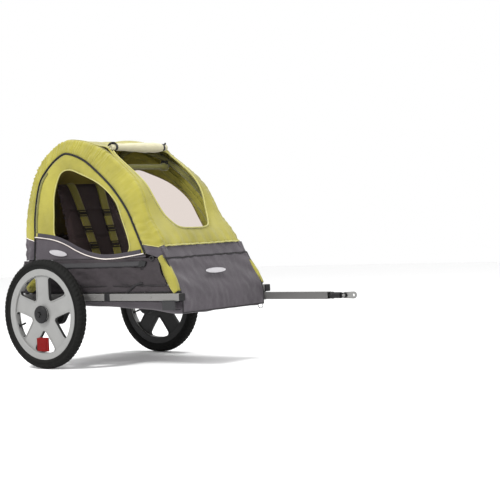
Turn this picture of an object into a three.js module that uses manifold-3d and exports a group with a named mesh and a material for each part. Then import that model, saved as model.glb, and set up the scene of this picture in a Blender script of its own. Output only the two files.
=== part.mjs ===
// Child bicycle trailer. Millimetres; +X is the towing direction, +Y the left side, +Z up.
// The design is drawn with its origin on the ground midway between the wheels.
import * as THREE from "three";
import { mergeVertices } from "three/addons/utils/BufferGeometryUtils.js";
import Module from "manifold-3d";

const wasm = await Module();
wasm.setup();

// ---- Driving dimensions ----------------------------------------------------------------------
const GAP = 0.3; // clearance kept between pieces that touch
const WHEEL_R = 200; // 16 inch tyre, outside radius
const TYRE_WIDTH = 44;
const RIM_R = 163.6;
const RIM_DEPTH = 22; // radial depth of the rim band
const RIM_HALF_WIDTH = 15;
const SPOKES = 5;
const HALF_TRACK = 312; // centre plane of each wheel
const HUB_R = 30;
const AXLE_R = 6;
const BAR = 25.4; // square tube of the lower frame and tow arm
const BAR_WALL = 1.6;
const RAIL_Y = 242; // centre of each side rail
const RAIL_Z = 256;
const RAIL_REAR = -182;
const RAIL_FRONT = 606;
const TUBE_R = 8; // round tube of the upper frame
const HINGE_Y = 211; // pivot line of each folding side
const HINGE_Z = 388;
const LEAN = THREE.MathUtils.degToRad(7); // sides lean inwards
const SKIN = 3; // thickness of the fabric solids
const SEAT_LEAN = THREE.MathUtils.degToRad(20);
const CROSSBAR_X = 207;
const CROSSBAR_Z = 725;
const CROSSBAR_HALF = 158;
const PIVOT_X = 540; // tow arm pivot, under the left rail
const ARM_Z = RAIL_Z - BAR - 3.6;
const PIN_X = PIVOT_X + 27;
const BELLY_HALF = 226;
const CENTRE_X = 397; // middle of the overall length

// ---- Colours and materials -------------------------------------------------------------------
const LOOKS = {
  aluminium: [0xa3a39c, 0.42, 0.85],
  armMetal: [0x8b8b88, 0.45, 0.8],
  frameSteel: [0x2b2b2d, 0.5, 0.4],
  zinc: [0xb9b9b5, 0.35, 0.9],
  blackPlastic: [0x1d1d1f, 0.55, 0],
  rimPlastic: [0xbdbcb6, 0.48, 0.1],
  tyreRubber: [0x1b1b1c, 0.85, 0],
  reflectorRed: [0xb4141a, 0.2, 0],
  limeFabric: [0xc9c75f, 0.8, 0],
  greyFabric: [0x57525a, 0.85, 0],
  seatFabric: [0x3b363d, 0.85, 0],
  strapWebbing: [0x8f9046, 0.8, 0],
  blackWebbing: [0x232125, 0.8, 0],
  windowMesh: [0x332c36, 0.5, 0],
  creamFabric: [0xe3ddc8, 0.75, 0],
};

const trailer = new THREE.Group();
trailer.position.x = -CENTRE_X;

function lookOf(slot) {
  const [color, roughness, metalness] = LOOKS[slot];
  return new THREE.MeshStandardMaterial({ color, roughness, metalness });
}

function put(name, geometry, slot, parent = trailer) {
  const mesh = new THREE.Mesh(geometry, lookOf(slot));
  mesh.name = name;
  parent.add(mesh);
  return mesh;
}

// ---- Geometry helpers ------------------------------------------------------------------------
function solidOf(geometry) {
  const bare = geometry.clone();
  bare.deleteAttribute("normal");
  bare.deleteAttribute("uv");
  const merged = mergeVertices(bare, 1e-4);
  return new wasm.Manifold(
    new wasm.Mesh({
      numProp: 3,
      vertProperties: merged.attributes.position.array,
      triVerts: new Uint32Array(merged.index.array),
    }),
  );
}

function geometryOf(solid) {
  const mesh = solid.getMesh();
  const geometry = new THREE.BufferGeometry();
  geometry.setAttribute("position", new THREE.BufferAttribute(mesh.vertProperties, 3));
  geometry.setIndex(new THREE.BufferAttribute(mesh.triVerts, 1));
  geometry.computeVertexNormals();
  return geometry;
}

function join(...geometries) {
  return geometryOf(geometries.map(solidOf).reduce((a, b) => a.add(b)));
}

function cut(body, ...tools) {
  return geometryOf(tools.map(solidOf).reduce((a, b) => a.subtract(b), solidOf(body)));
}

function keepInside(body, region) {
  return geometryOf(solidOf(body).intersect(solidOf(region)));
}

function box(x0, x1, y0, y1, z0, z1) {
  const geometry = new THREE.BoxGeometry(x1 - x0, y1 - y0, z1 - z0);
  return geometry.translate((x0 + x1) / 2, (y0 + y1) / 2, (z0 + z1) / 2);
}

// A round bar from one point to another.
function rod(from, to, radius, sides = 16) {
  const a = new THREE.Vector3(...from);
  const b = new THREE.Vector3(...to);
  const geometry = new THREE.CylinderGeometry(radius, radius, a.distanceTo(b), sides);
  const turn = new THREE.Quaternion().setFromUnitVectors(
    new THREE.Vector3(0, 1, 0),
    b.clone().sub(a).normalize(),
  );
  return geometry.applyQuaternion(turn).translate(...a.add(b).multiplyScalar(0.5).toArray());
}

function shapeOf(points) {
  return new THREE.Shape(points.map(([u, v]) => new THREE.Vector2(u, v)));
}

// An outline in X and Z, extruded in Y from y0 to y1.
function plateXZ(shape, y0, y1, curveSegments = 6) {
  const geometry = new THREE.ExtrudeGeometry(shape, {
    depth: y1 - y0,
    bevelEnabled: false,
    curveSegments,
  });
  return geometry.rotateX(Math.PI / 2).translate(0, y1, 0);
}

// An outline in Y and Z, extruded in X from x0 to x1.
function plateYZ(shape, x0, x1, curveSegments = 6) {
  const geometry = new THREE.ExtrudeGeometry(shape, {
    depth: x1 - x0,
    bevelEnabled: false,
    curveSegments,
  });
  return geometry.rotateZ(Math.PI / 2).rotateY(Math.PI / 2).translate(x0, 0, 0);
}

// A smooth open outline through a few points, as evenly spread samples.
function smooth(points, samples) {
  const curve = new THREE.SplineCurve(points.map(([u, v]) => new THREE.Vector2(u, v)));
  return curve.getSpacedPoints(samples).map((p) => [p.x, p.y]);
}

// The same outline moved sideways: positive distances go to the right of the path.
function offsetPath(path, distance) {
  return path.map(([u, v], i) => {
    const [u0, v0] = path[Math.max(i - 1, 0)];
    const [u1, v1] = path[Math.min(i + 1, path.length - 1)];
    const length = Math.hypot(u1 - u0, v1 - v0);
    return [u + ((v1 - v0) / length) * distance, v - ((u1 - u0) / length) * distance];
  });
}

// A strip of cloth seen from its edge: the path thickened to its right.
function stripShape(path, thickness) {
  return shapeOf([...path, ...offsetPath(path, thickness).reverse()]);
}

function roundedRect(u0, u1, v0, v1, r) {
  const shape = new THREE.Shape();
  shape.moveTo(u0 + r, v0);
  shape.lineTo(u1 - r, v0);
  shape.quadraticCurveTo(u1, v0, u1, v0 + r);
  shape.lineTo(u1, v1 - r);
  shape.quadraticCurveTo(u1, v1, u1 - r, v1);
  shape.lineTo(u0 + r, v1);
  shape.quadraticCurveTo(u0, v1, u0, v1 - r);
  shape.lineTo(u0, v0 + r);
  shape.quadraticCurveTo(u0, v0, u0 + r, v0);
  return shape;
}

// How far out the fabric side lies at a height.
function sideY(z) {
  return HINGE_Y + 15 - Math.tan(LEAN) * (z - HINGE_Z);
}

const SIDES = [
  { side: "right", sign: -1 },
  { side: "left", sign: 1 },
];

// ---- Lower frame: rails, cross tubes, posts --------------------------------------------------
function squareTube(length) {
  const half = BAR / 2;
  const bore = half - BAR_WALL;
  const shape = roundedRect(-half, half, -half, half, 3);
  shape.holes.push(roundedRect(-bore, bore, -bore, bore, 2));
  return new THREE.ExtrudeGeometry(shape, { depth: length, bevelEnabled: false, curveSegments: 2 })
    .rotateZ(Math.PI / 2)
    .rotateY(Math.PI / 2);
}

function endPlug() {
  const half = BAR / 2;
  const stub = half - BAR_WALL - 2 * GAP;
  const head = plateYZ(roundedRect(-half, half, -half, half, 4), GAP, 7, 3);
  return join(head, box(-18, 1, -stub, stub, -stub, stub));
}

for (const { side, sign } of SIDES) {
  const plugHead = 7;
  const rail = squareTube(RAIL_FRONT - RAIL_REAR - plugHead);
  put(`rail_${side}`, rail, "aluminium").position.set(RAIL_REAR, sign * RAIL_Y, RAIL_Z);
  const plug = put(`rail_plug_${side}`, endPlug(), "blackPlastic");
  plug.position.set(RAIL_FRONT - plugHead, sign * RAIL_Y, RAIL_Z);
}

const CROSS_HALF = RAIL_Y - BAR / 2 - GAP;
const CROSS_TUBES = { rear: -160, axle: 0, front: 560 };
for (const [place, x] of Object.entries(CROSS_TUBES)) {
  const half = BAR / 2;
  const section = roundedRect(x - half, x + half, RAIL_Z - half, RAIL_Z + half, 3);
  const tube = plateXZ(section, -CROSS_HALF, CROSS_HALF, 2);
  put(`cross_tube_${place}`, tube, "aluminium");
}

const POST_BASE = RAIL_Z + BAR / 2 + GAP;
const UPPER_Z = 366;

// The bent tube on the rail that carries the hinges: rear post, top run, sloped front post.
function upperFrame(sign) {
  const at = (x, y, z) => new THREE.Vector3(x, sign * y, z);
  const topY = HINGE_Y + 3;
  const path = new THREE.CurvePath();
  const rearTop = at(-172, 220, 344);
  const runRear = at(-150, topY, UPPER_Z);
  const runFront = at(490, topY, UPPER_Z);
  const frontTop = at(524, 219, 348);
  path.add(new THREE.LineCurve3(at(-172, 232, POST_BASE - 12), rearTop));
  path.add(new THREE.QuadraticBezierCurve3(rearTop, at(-172, topY, UPPER_Z), runRear));
  path.add(new THREE.LineCurve3(runRear, runFront));
  path.add(new THREE.QuadraticBezierCurve3(runFront, at(512, topY, UPPER_Z), frontTop));
  path.add(new THREE.LineCurve3(frontTop, at(582, 233, POST_BASE - 12)));
  const section = new THREE.Shape().absarc(0, 0, TUBE_R, 0, 2 * Math.PI);
  const tube = new THREE.ExtrudeGeometry(section, { extrudePath: path, steps: 44, curveSegments: 4 });
  return cut(tube, box(-250, 650, -300, 300, POST_BASE - 40, POST_BASE));
}

for (const { side, sign } of SIDES) {
  put(`upper_frame_${side}`, upperFrame(sign), "frameSteel");
}

// ---- Wheels ----------------------------------------------------------------------------------
// Drawn about their own axis, with +Z of the drawing facing outwards.
function ringGeometry(profile, segments) {
  const points = [...profile, profile[0]].map(([r, a]) => new THREE.Vector2(r, a));
  return new THREE.LatheGeometry(points, segments).rotateX(Math.PI / 2);
}

function tyreGeometry() {
  const half = TYRE_WIDTH / 2;
  const inner = RIM_R + GAP;
  const tread = WHEEL_R;
  return ringGeometry(
    [
      [inner, -half + 8],
      [inner + 9, -half],
      [inner + 22, -half + 1],
      [tread - 4, -half + 10],
      [tread, 0],
      [tread - 4, half - 10],
      [inner + 22, half - 1],
      [inner + 9, half],
      [inner, half - 8],
    ],
    48,
  );
}

function wheelGap() {
  const apex = 64;
  const base = 139;
  const half = 50;
  const shape = new THREE.Shape();
  shape.moveTo(apex + 8, -10);
  shape.lineTo(base - 26, -half + 6);
  shape.quadraticCurveTo(base - 8, -half - 4, base - 2, -half + 16);
  shape.quadraticCurveTo(base + 4, 0, base - 2, half - 16);
  shape.quadraticCurveTo(base - 8, half + 4, base - 26, half - 6);
  shape.lineTo(apex + 8, 10);
  shape.quadraticCurveTo(apex - 4, 0, apex + 8, -10);
  return new THREE.ExtrudeGeometry(shape, { depth: 60, bevelEnabled: false, curveSegments: 5 })
    .translate(0, 0, -30);
}

function rimGeometry() {
  const inner = RIM_R - RIM_DEPTH;
  const w = RIM_HALF_WIDTH;
  const band = ringGeometry([[inner, -w + 3], [RIM_R, -w], [RIM_R, w], [inner, w - 3]], 48);
  const disc = new THREE.CylinderGeometry(inner + 4, inner + 4, 14, 48).rotateX(Math.PI / 2);
  const hub = rod([0, 0, -28], [0, 0, 18], HUB_R, 32);
  const bore = new THREE.CylinderGeometry(AXLE_R + 0.6, AXLE_R + 0.6, 120, 20).rotateX(Math.PI / 2);
  const gaps = Array.from({ length: SPOKES }, (_, i) =>
    wheelGap().rotateZ(THREE.MathUtils.degToRad(90 + 180 / SPOKES + (360 / SPOKES) * i)),
  );
  return cut(join(cut(disc, ...gaps), band, hub), bore);
}

function hubCapGeometry() {
  const base = 18 + GAP;
  const profile = [
    [9, base],
    [HUB_R, base],
    [HUB_R, base + 4],
    [HUB_R - 5, base + 9],
    [9, base + 11],
  ];
  return ringGeometry(profile, 24);
}

// Stub axle with a hollow end that takes the release button.
function axleGeometry() {
  const inner = -HALF_TRACK + RAIL_Y - 12;
  const profile = [[0, inner], [AXLE_R, inner], [AXLE_R, 22], [3.6, 22], [3.6, 2], [0, 2]];
  const points = profile.map(([r, a]) => new THREE.Vector2(r, a));
  return new THREE.LatheGeometry(points, 24).rotateX(Math.PI / 2);
}

function buttonGeometry() {
  const profile = [[0, 8], [3, 8], [3, 27], [7, 27], [7, 33], [5, 35], [0, 35]];
  const points = profile.map(([r, a]) => new THREE.Vector2(r, a));
  return new THREE.LatheGeometry(points, 16).rotateX(Math.PI / 2);
}

function reflectorGeometry() {
  const low = -(RIM_R - RIM_DEPTH) + 6;
  return join(box(-21, 21, low + 4, low + 52, 9, 17), box(-12, 12, low - 1, low + 8, 4, 16));
}

for (const { side, sign } of SIDES) {
  const wheel = new THREE.Group();
  wheel.position.set(0, sign * HALF_TRACK, WHEEL_R);
  wheel.rotation.set((-sign * Math.PI) / 2, 0, sign > 0 ? Math.PI : 0);
  trailer.add(wheel);
  put(`tyre_${side}`, tyreGeometry(), "tyreRubber", wheel);
  put(`rim_${side}`, rimGeometry(), "rimPlastic", wheel);
  put(`hub_cap_${side}`, hubCapGeometry(), "blackPlastic", wheel);
  put(`axle_${side}`, axleGeometry(), "zinc", wheel);
  put(`hub_button_${side}`, buttonGeometry(), "blackPlastic", wheel);
  if (side === "right") put("reflector_right", reflectorGeometry(), "reflectorRed", wheel);
}

// ---- Axle brackets under the rails -----------------------------------------------------------
function axleBracket() {
  const top = RAIL_Z - BAR / 2 - GAP;
  const shape = new THREE.Shape();
  shape.moveTo(-138, top);
  shape.lineTo(-134, 222);
  shape.quadraticCurveTo(-50, 214, -34, 180);
  shape.quadraticCurveTo(-20, 157, 0, 157);
  shape.quadraticCurveTo(20, 157, 34, 180);
  shape.quadraticCurveTo(44, 205, 92, 210);
  shape.lineTo(98, top);
  shape.closePath();
  const bore = new THREE.Path().absarc(0, WHEEL_R, AXLE_R + 0.5, 0, 2 * Math.PI, true);
  shape.holes.push(bore);
  return plateXZ(shape, -11, 11, 8);
}
for (const { side, sign } of SIDES) {
  put(`axle_bracket_${side}`, axleBracket(), "blackPlastic").position.y = sign * RAIL_Y;
}

// ---- Folding sides: hoop, hinges, side panel, window -----------------------------------------
const OUTLINE = [
  [-181, 392], [-187, 475], [-187, 560], [-171, 656], [-139, 738], [-77, 798], [-5, 832],
  [60, 830], [122, 815], [206, 782], [307, 711], [361, 663], [393, 617], [430, 537], [485, 463],
];
const WINDOW = [
  [-24, 478], [-34, 560], [-36, 635], [-11, 706], [32, 722], [87, 707], [192, 663], [270, 603],
  [297, 538], [354, 423], [287, 399], [221, 399], [154, 411], [95, 430], [34, 455],
];
const HOOP = [
  [-150, 388], [-152, 490], [-146, 580], [-124, 660], [-86, 728], [-30, 778], [30, 800], [95, 794],
  [170, 768], [250, 718], [330, 650], [385, 580], [430, 490], [465, 420], [478, 388],
];
const outlinePath = smooth(OUTLINE, 34);

// A point of the side given by X and height, measured in the leaning plane from the hinge line.
function onSlope([x, z]) {
  return [x, (z - HINGE_Z) / Math.cos(LEAN)];
}

function hoopGeometry() {
  const points = smooth(HOOP, 30).map(onSlope).map(([x, s]) => new THREE.Vector3(x, 0, s));
  const first = points[0];
  const last = points[points.length - 1];
  first.z = 0;
  last.z = 0;
  const path = new THREE.CatmullRomCurve3(points);
  const section = new THREE.Shape().absarc(0, 0, TUBE_R, 0, 2 * Math.PI);
  const tube = new THREE.ExtrudeGeometry(section, { extrudePath: path, steps: 36, curveSegments: 5 });
  const ball = new THREE.SphereGeometry(TUBE_R, 12, 8);
  const ends = [first, last].map((p) => ball.clone().translate(p.x, p.y, p.z));
  return join(tube, ...ends);
}

// Clip on the inside of a hoop that holds one end of the crossbar; it opens downwards.
function crossbarClip(sign) {
  const slot = TUBE_R + 0.5;
  const wall = 4;
  const [y0, y1] = sign > 0 ? [146, 165] : [-165, -146];
  const top = CROSSBAR_Z + 23;
  const [x0, x1] = [CROSSBAR_X - slot, CROSSBAR_X + slot];
  const clip = box(x0 - wall, x1 + wall, y0, y1, CROSSBAR_Z - 4, top);
  const room = box(x0, x1, y0 - 1, y1 + 1, CROSSBAR_Z - 5, CROSSBAR_Z + slot);
  return cut(clip, room);
}

function hingeBracket(x) {
  const ear = 3;
  const inner = TUBE_R + 7;
  const outer = inner + ear;
  const low = UPPER_Z + TUBE_R + GAP;
  const top = HINGE_Z + 8;
  const shape = shapeOf([
    [x - outer, low],
    [x + outer, low],
    [x + outer, top],
    [x + inner, top],
    [x + inner, low + 3],
    [x - inner, low + 3],
    [x - inner, top],
    [x - outer, top],
  ]);
  return plateXZ(shape, -8, 8);
}

// The fabric lies this far outside the hoop's plane.
function fabricPlate(points, thickness, sign) {
  const near = 15 + GAP;
  const y = sign > 0 ? near : -near - thickness;
  return plateXZ(shapeOf(points.map(onSlope)), y, y + thickness);
}

function sidePanel(sign) {
  const whole = fabricPlate([...outlinePath, [521, OUTLINE[0][1]]], SKIN, sign);
  const opening = fabricPlate(WINDOW, 60, sign).translate(0, -20 * sign, 0);
  return cut(whole, opening);
}

function sideWindow(sign) {
  const [midX, midZ] = [130, 560];
  const pane = WINDOW.map(([x, z]) => [midX + (x - midX) * 0.99, midZ + (z - midZ) * 0.99]);
  return fabricPlate(pane, 2, sign);
}

for (const { side, sign } of SIDES) {
  const folding = new THREE.Group();
  folding.position.set(0, sign * HINGE_Y, HINGE_Z);
  folding.rotation.x = sign * LEAN;
  trailer.add(folding);
  const clip = crossbarClip(sign).translate(0, -sign * HINGE_Y, -HINGE_Z).rotateX(-sign * LEAN);
  put(`hoop_${side}`, join(hoopGeometry(), clip), "frameSteel", folding);

  put(`side_panel_${side}`, sidePanel(sign), "limeFabric", folding);
  put(`side_window_${side}`, sideWindow(sign), "windowMesh", folding);
  const places = { rear: HOOP[0][0], front: HOOP[HOOP.length - 1][0] };
  for (const [place, x] of Object.entries(places)) {
    put(`hinge_${place}_${side}`, hingeBracket(x), "blackPlastic").position.y = sign * HINGE_Y;
  }
}

const crossbar = rod(
  [CROSSBAR_X, -CROSSBAR_HALF, CROSSBAR_Z],
  [CROSSBAR_X, CROSSBAR_HALF, CROSSBAR_Z],
  TUBE_R,
);
put("crossbar", crossbar, "frameSteel");

// ---- Canopy over the hoops -------------------------------------------------------------------
// Everything between the two leaning sides, a little inside their inner faces.
function betweenSides() {
  const low = 100;
  const high = 900;
  const clear = 0.5;
  const section = shapeOf([
    [-sideY(low) + clear, low],
    [sideY(low) - clear, low],
    [sideY(high) - clear, high],
    [-sideY(high) + clear, high],
  ]);
  return plateYZ(section, -250, 650);
}

// The front opening seen from ahead: narrow and rounded below, wide under the crossbar.
function frontOpening() {
  const shape = new THREE.Shape();
  shape.moveTo(-75, 500);
  shape.quadraticCurveTo(0, 494, 75, 500);
  shape.quadraticCurveTo(112, 508, 126, 590);
  shape.lineTo(146, 722);
  shape.quadraticCurveTo(148, 764, 118, 764);
  shape.lineTo(-118, 764);
  shape.quadraticCurveTo(-148, 764, -146, 722);
  shape.lineTo(-126, 590);
  shape.quadraticCurveTo(-112, 508, -75, 500);
  return plateYZ(shape, 190, 620, 5);
}

const canopyPath = [[OUTLINE[0][0], UPPER_Z + 24], ...outlinePath.slice(1), [499, 432]];
const canopyBand = plateXZ(stripShape(canopyPath, SKIN), -240, 240);
put("canopy", cut(keepInside(canopyBand, betweenSides()), frontOpening()), "limeFabric");

const apronPath = [[500, 431], [521, 391]];
const apronBand = plateXZ(stripShape(apronPath, SKIN), -240, 240);
put("front_apron", keepInside(apronBand, betweenSides()), "greyFabric");

// ---- Lower fabric body -----------------------------------------------------------------------
const FRONT_PANEL = [[522, 388], [545, 350], [576, 296], [590, 262], [594, 236], [595, 199]];
const panelBand = plateXZ(stripShape(FRONT_PANEL, SKIN), -228, 228);
put("front_panel", panelBand, "greyFabric");
const rearX = OUTLINE[0][0] - 4;
put("rear_panel", box(rearX, rearX + SKIN, -226, 226, 272, 386), "greyFabric");

const SIDE_LOW = POST_BASE + 2;
for (const { side, sign } of SIDES) {
  const y = 243;
  const [y0, y1] = sign > 0 ? [y, y + SKIN] : [-y - SKIN, -y];
  const panel = shapeOf([[-178, SIDE_LOW], [552, SIDE_LOW], [488, 386], [-178, 386]]);
  put(`lower_side_${side}`, plateXZ(panel, y0, y1), "greyFabric");
}

const FLOOR_TOP = RAIL_Z - BAR / 2 - GAP;
const FLOOR_LOW = FLOOR_TOP - 2.4;
put("floor", box(-172, 588, -BELLY_HALF, BELLY_HALF, FLOOR_LOW, FLOOR_TOP), "seatFabric");

// The footwell fabric hangs in a shallow tub under the floor, deepest at the front.
const BELLY = [
  [-176, 236], [-170, 226], [151, 221], [324, 213],
  [442, 207], [508, 196], [580, 194], [590, 199],
];
const bellyTop = FLOOR_LOW - GAP;
const tub = plateXZ(shapeOf([[-176, bellyTop], ...BELLY, [590, bellyTop]]), -BELLY_HALF, BELLY_HALF);
const tubInside = [
  [-172, bellyTop + 1], [-172, 237], [-166, 229], [151, 224], [324, 216],
  [442, 210], [508, 199], [579, 197], [586, 201], [586, bellyTop + 1],
];
const tubRoom = plateXZ(shapeOf(tubInside), -BELLY_HALF + SKIN, BELLY_HALF - SKIN);
put("belly", cut(tub, tubRoom), "greyFabric");

// ---- Seat and harness, drawn in the leaning plane of the seat back ---------------------------
const SEAT = { footX: 56, footZ: 304, height: 418, topHalf: 148, footHalf: 198 };
const seat = new THREE.Group();
seat.position.set(SEAT.footX, 0, SEAT.footZ);
seat.rotation.y = -SEAT_LEAN;
trailer.add(seat);

const backShape = shapeOf([
  [-SEAT.footHalf, 0],
  [SEAT.footHalf, 0],
  [SEAT.topHalf, SEAT.height - 30],
  [SEAT.topHalf - 30, SEAT.height],
  [-SEAT.topHalf + 30, SEAT.height],
  [-SEAT.topHalf, SEAT.height - 30],
]);
put("seat_back", plateYZ(backShape, -6, 0), "seatFabric", seat);
put("seat_base", box(58, 310, -198, 198, 292, 299), "seatFabric");

const STRAP_HALF = 19;
for (const { side, sign } of SIDES) {
  const lower = sign * 54;
  const upper = sign * 76;
  const strap = shapeOf([
    [lower - STRAP_HALF, 62],
    [lower + STRAP_HALF, 62],
    [upper + STRAP_HALF, 396],
    [upper - STRAP_HALF, 396],
  ]);
  put(`shoulder_strap_${side}`, plateYZ(strap, GAP, 5), "strapWebbing", seat);
  const middle = sign * 64;
  const adjuster = box(5 + GAP, 12, middle - 22, middle + 22, 222, 262);
  put(`strap_adjuster_${side}`, adjuster, "blackPlastic", seat);
  const [y0, y1] = sign > 0 ? [30, 186] : [-186, -30];
  put(`lap_belt_${side}`, box(GAP, 4, y0, y1, 22, 54), "blackWebbing", seat);
}
put("harness_buckle", box(4 + GAP, 20, -27, 27, 14, 58), "blackPlastic", seat);
put("crotch_strap", box(96, 134, -19, 19, 299 + GAP, 303), "blackWebbing");

// ---- Rolled-up front cover and its straps ----------------------------------------------------
const ROLL = { x: 216, z: 800, half: 150 };
const rollProfile = [
  [0, -ROLL.half], [11, -ROLL.half], [15, -ROLL.half + 10], [16, -110], [18.5, -40],
  [18.5, 40], [16, 110], [15, ROLL.half - 10], [11, ROLL.half], [0, ROLL.half],
];
const roll = new THREE.LatheGeometry(rollProfile.map(([r, y]) => new THREE.Vector2(r, y)), 16);
put("rolled_cover", roll, "creamFabric").position.set(ROLL.x, 0, ROLL.z);
for (const { side, sign } of SIDES) {
  const inner = 17;
  const ring = new THREE.LatheGeometry(
    [[inner, -11], [inner + 2.2, -11], [inner + 2.2, 11], [inner, 11], [inner, -11]].map(
      ([r, y]) => new THREE.Vector2(r, y),
    ),
    16,
  );
  put(`roll_strap_${side}`, ring, "blackWebbing").position.set(ROLL.x, sign * 122, ROLL.z);
}

// ---- Tow bracket, arm, hitch -----------------------------------------------------------------
const BRACKET_REAR = PIVOT_X - 16;
const BRACKET_FRONT = PIVOT_X + 42;

// A C section under the rail, open towards the middle; its plates are notched for the pin.
function towBracket() {
  const half = BAR / 2;
  const top = RAIL_Z - half - GAP;
  const low = ARM_Z - half - 3;
  const section = shapeOf([
    [-half, low],
    [half + 3.4, low],
    [half + 3.4, top],
    [-half, top],
    [-half, top - 2.8],
    [half + 0.4, top - 2.8],
    [half + 0.4, low + 2.6],
    [-half, low + 2.6],
  ]);
  const channel = plateYZ(section, BRACKET_REAR, BRACKET_FRONT);
  const notch = box(PIN_X - 9, PIN_X + 4, -half - 1, 4.5, low - 1, top + 1);
  return cut(channel, notch);
}

for (const { side, sign } of SIDES) {
  const bracket = put(`tow_bracket_${side}`, towBracket(), "zinc");
  bracket.position.set(sign > 0 ? 0 : BRACKET_REAR + BRACKET_FRONT, sign * RAIL_Y, 0);
  bracket.rotation.z = sign > 0 ? 0 : Math.PI;
}

// Tow arm: square tube whose rear end is rounded about the pivot.
const ARM_LENGTH = 340;
const YAW_X = ARM_LENGTH + 14;
const PITCH_X = ARM_LENGTH + 66;
const HITCH_TIP = PITCH_X + 48;

function towArm() {
  const half = BAR / 2;
  const bore = half - BAR_WALL;
  const heel = new THREE.CylinderGeometry(half, half, BAR, 24).rotateX(Math.PI / 2);
  const straight = box(0, ARM_LENGTH, -half, half, -half, half);
  const hollow = box(14, ARM_LENGTH + 1, -bore, bore, -bore, bore);
  const pinHole = rod([PIN_X - PIVOT_X, 0, -20], [PIN_X - PIVOT_X, 0, 20], 3.5, 12);
  return cut(join(heel, straight), hollow, pinHole);
}

function armCoupling() {
  const knuckle = new THREE.SphereGeometry(13, 16, 12).translate(YAW_X, 0, 0);
  const neck = rod([YAW_X, 0, 0], [PITCH_X - 15, 0, 0], 11, 16);
  const tongue = box(PITCH_X - 20, PITCH_X, -3, 3, -9, 9);
  const eye = rod([PITCH_X, -3, 0], [PITCH_X, 3, 0], 9, 16);
  const bolt = rod([PITCH_X, -10, 0], [PITCH_X, 10, 0], 3.6, 12);
  return cut(join(knuckle, neck, tongue, eye), bolt);
}

function hitchPlate() {
  const outline = new THREE.Shape();
  outline.absarc(PITCH_X, 0, 11, Math.PI / 2, (3 * Math.PI) / 2);
  outline.lineTo(HITCH_TIP - 12.5, -12.5);
  outline.absarc(HITCH_TIP - 12.5, 0, 12.5, -Math.PI / 2, Math.PI / 2);
  outline.closePath();
  outline.holes.push(new THREE.Path().absarc(HITCH_TIP - 12.5, 0, 5.2, 0, 2 * Math.PI, true));
  const plate = plateXZ(outline, 3 + GAP, 7, 8);
  const bolt = rod([PITCH_X, -6, 0], [PITCH_X, 10, 0], 3, 12);
  const nut = rod([PITCH_X, -8, 0], [PITCH_X, -3 - GAP, 0], 6, 6);
  return join(plate, bolt, nut);
}

function retainingPin() {
  const low = -BAR / 2 - 9;
  const x = PIN_X - PIVOT_X;
  const pin = rod([x, 0, low], [x, 0, BAR / 2 + 0.2], 3, 12);
  const head = rod([x, 0, low - 4], [x, 0, low + 1], 6, 12);
  const loop = new THREE.TorusGeometry(11, 1.5, 6, 20).rotateX(Math.PI / 2);
  return join(pin, head, loop.translate(x, 0, low - 14));
}

const towing = new THREE.Group();
towing.position.set(PIVOT_X, RAIL_Y, ARM_Z);
trailer.add(towing);
put("tow_arm", towArm(), "armMetal", towing);
put("arm_coupling", armCoupling(), "blackPlastic", towing);
put("hitch_plate", hitchPlate(), "zinc", towing);
put("retaining_pin", retainingPin(), "zinc", towing);

export default trailer;
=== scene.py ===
"""Child bicycle trailer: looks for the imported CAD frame.

Shapes are drawn in millimetres with X forward from the wheel axle, Y to the left and Z up from the
ground, and mesh_object() turns them into the row frame.
"""
import math
from bisect import bisect_right

import bmesh
import bpy
from mathutils import Matrix, Vector, geometry, noise


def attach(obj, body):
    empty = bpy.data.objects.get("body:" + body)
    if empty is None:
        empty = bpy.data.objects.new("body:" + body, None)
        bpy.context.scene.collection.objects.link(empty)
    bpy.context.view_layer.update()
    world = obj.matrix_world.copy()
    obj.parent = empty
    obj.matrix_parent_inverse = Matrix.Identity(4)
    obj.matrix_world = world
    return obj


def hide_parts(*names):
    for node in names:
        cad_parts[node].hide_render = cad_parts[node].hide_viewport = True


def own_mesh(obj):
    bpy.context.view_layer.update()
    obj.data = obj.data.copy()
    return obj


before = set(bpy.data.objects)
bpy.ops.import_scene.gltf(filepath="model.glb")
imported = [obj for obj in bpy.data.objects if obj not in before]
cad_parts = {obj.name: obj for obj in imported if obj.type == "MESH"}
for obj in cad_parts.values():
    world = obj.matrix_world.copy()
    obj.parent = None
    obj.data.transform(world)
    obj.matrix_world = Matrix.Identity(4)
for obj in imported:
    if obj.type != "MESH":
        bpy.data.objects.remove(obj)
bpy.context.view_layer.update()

MM = 0.001
CENTRE_X = 397
SIDES = {"right": -1, "left": 1}

# ---- Driving dimensions, the same as in the CAD ---------------------------------------------------
HINGE_Y, HINGE_Z = 211, 388
LEAN = math.radians(7)
FABRIC_N = 17
RAIL_Y, RAIL_Z, BAR = 242, 256, 25.4
TUBE_R = 8
HALF_TRACK, WHEEL_R = 312, 200
SEAT_X, SEAT_Z, SEAT_LEAN = 56, 304, math.radians(20)
ROLL_X, ROLL_Z, ROLL_HALF = 216, 800, 150

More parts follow.
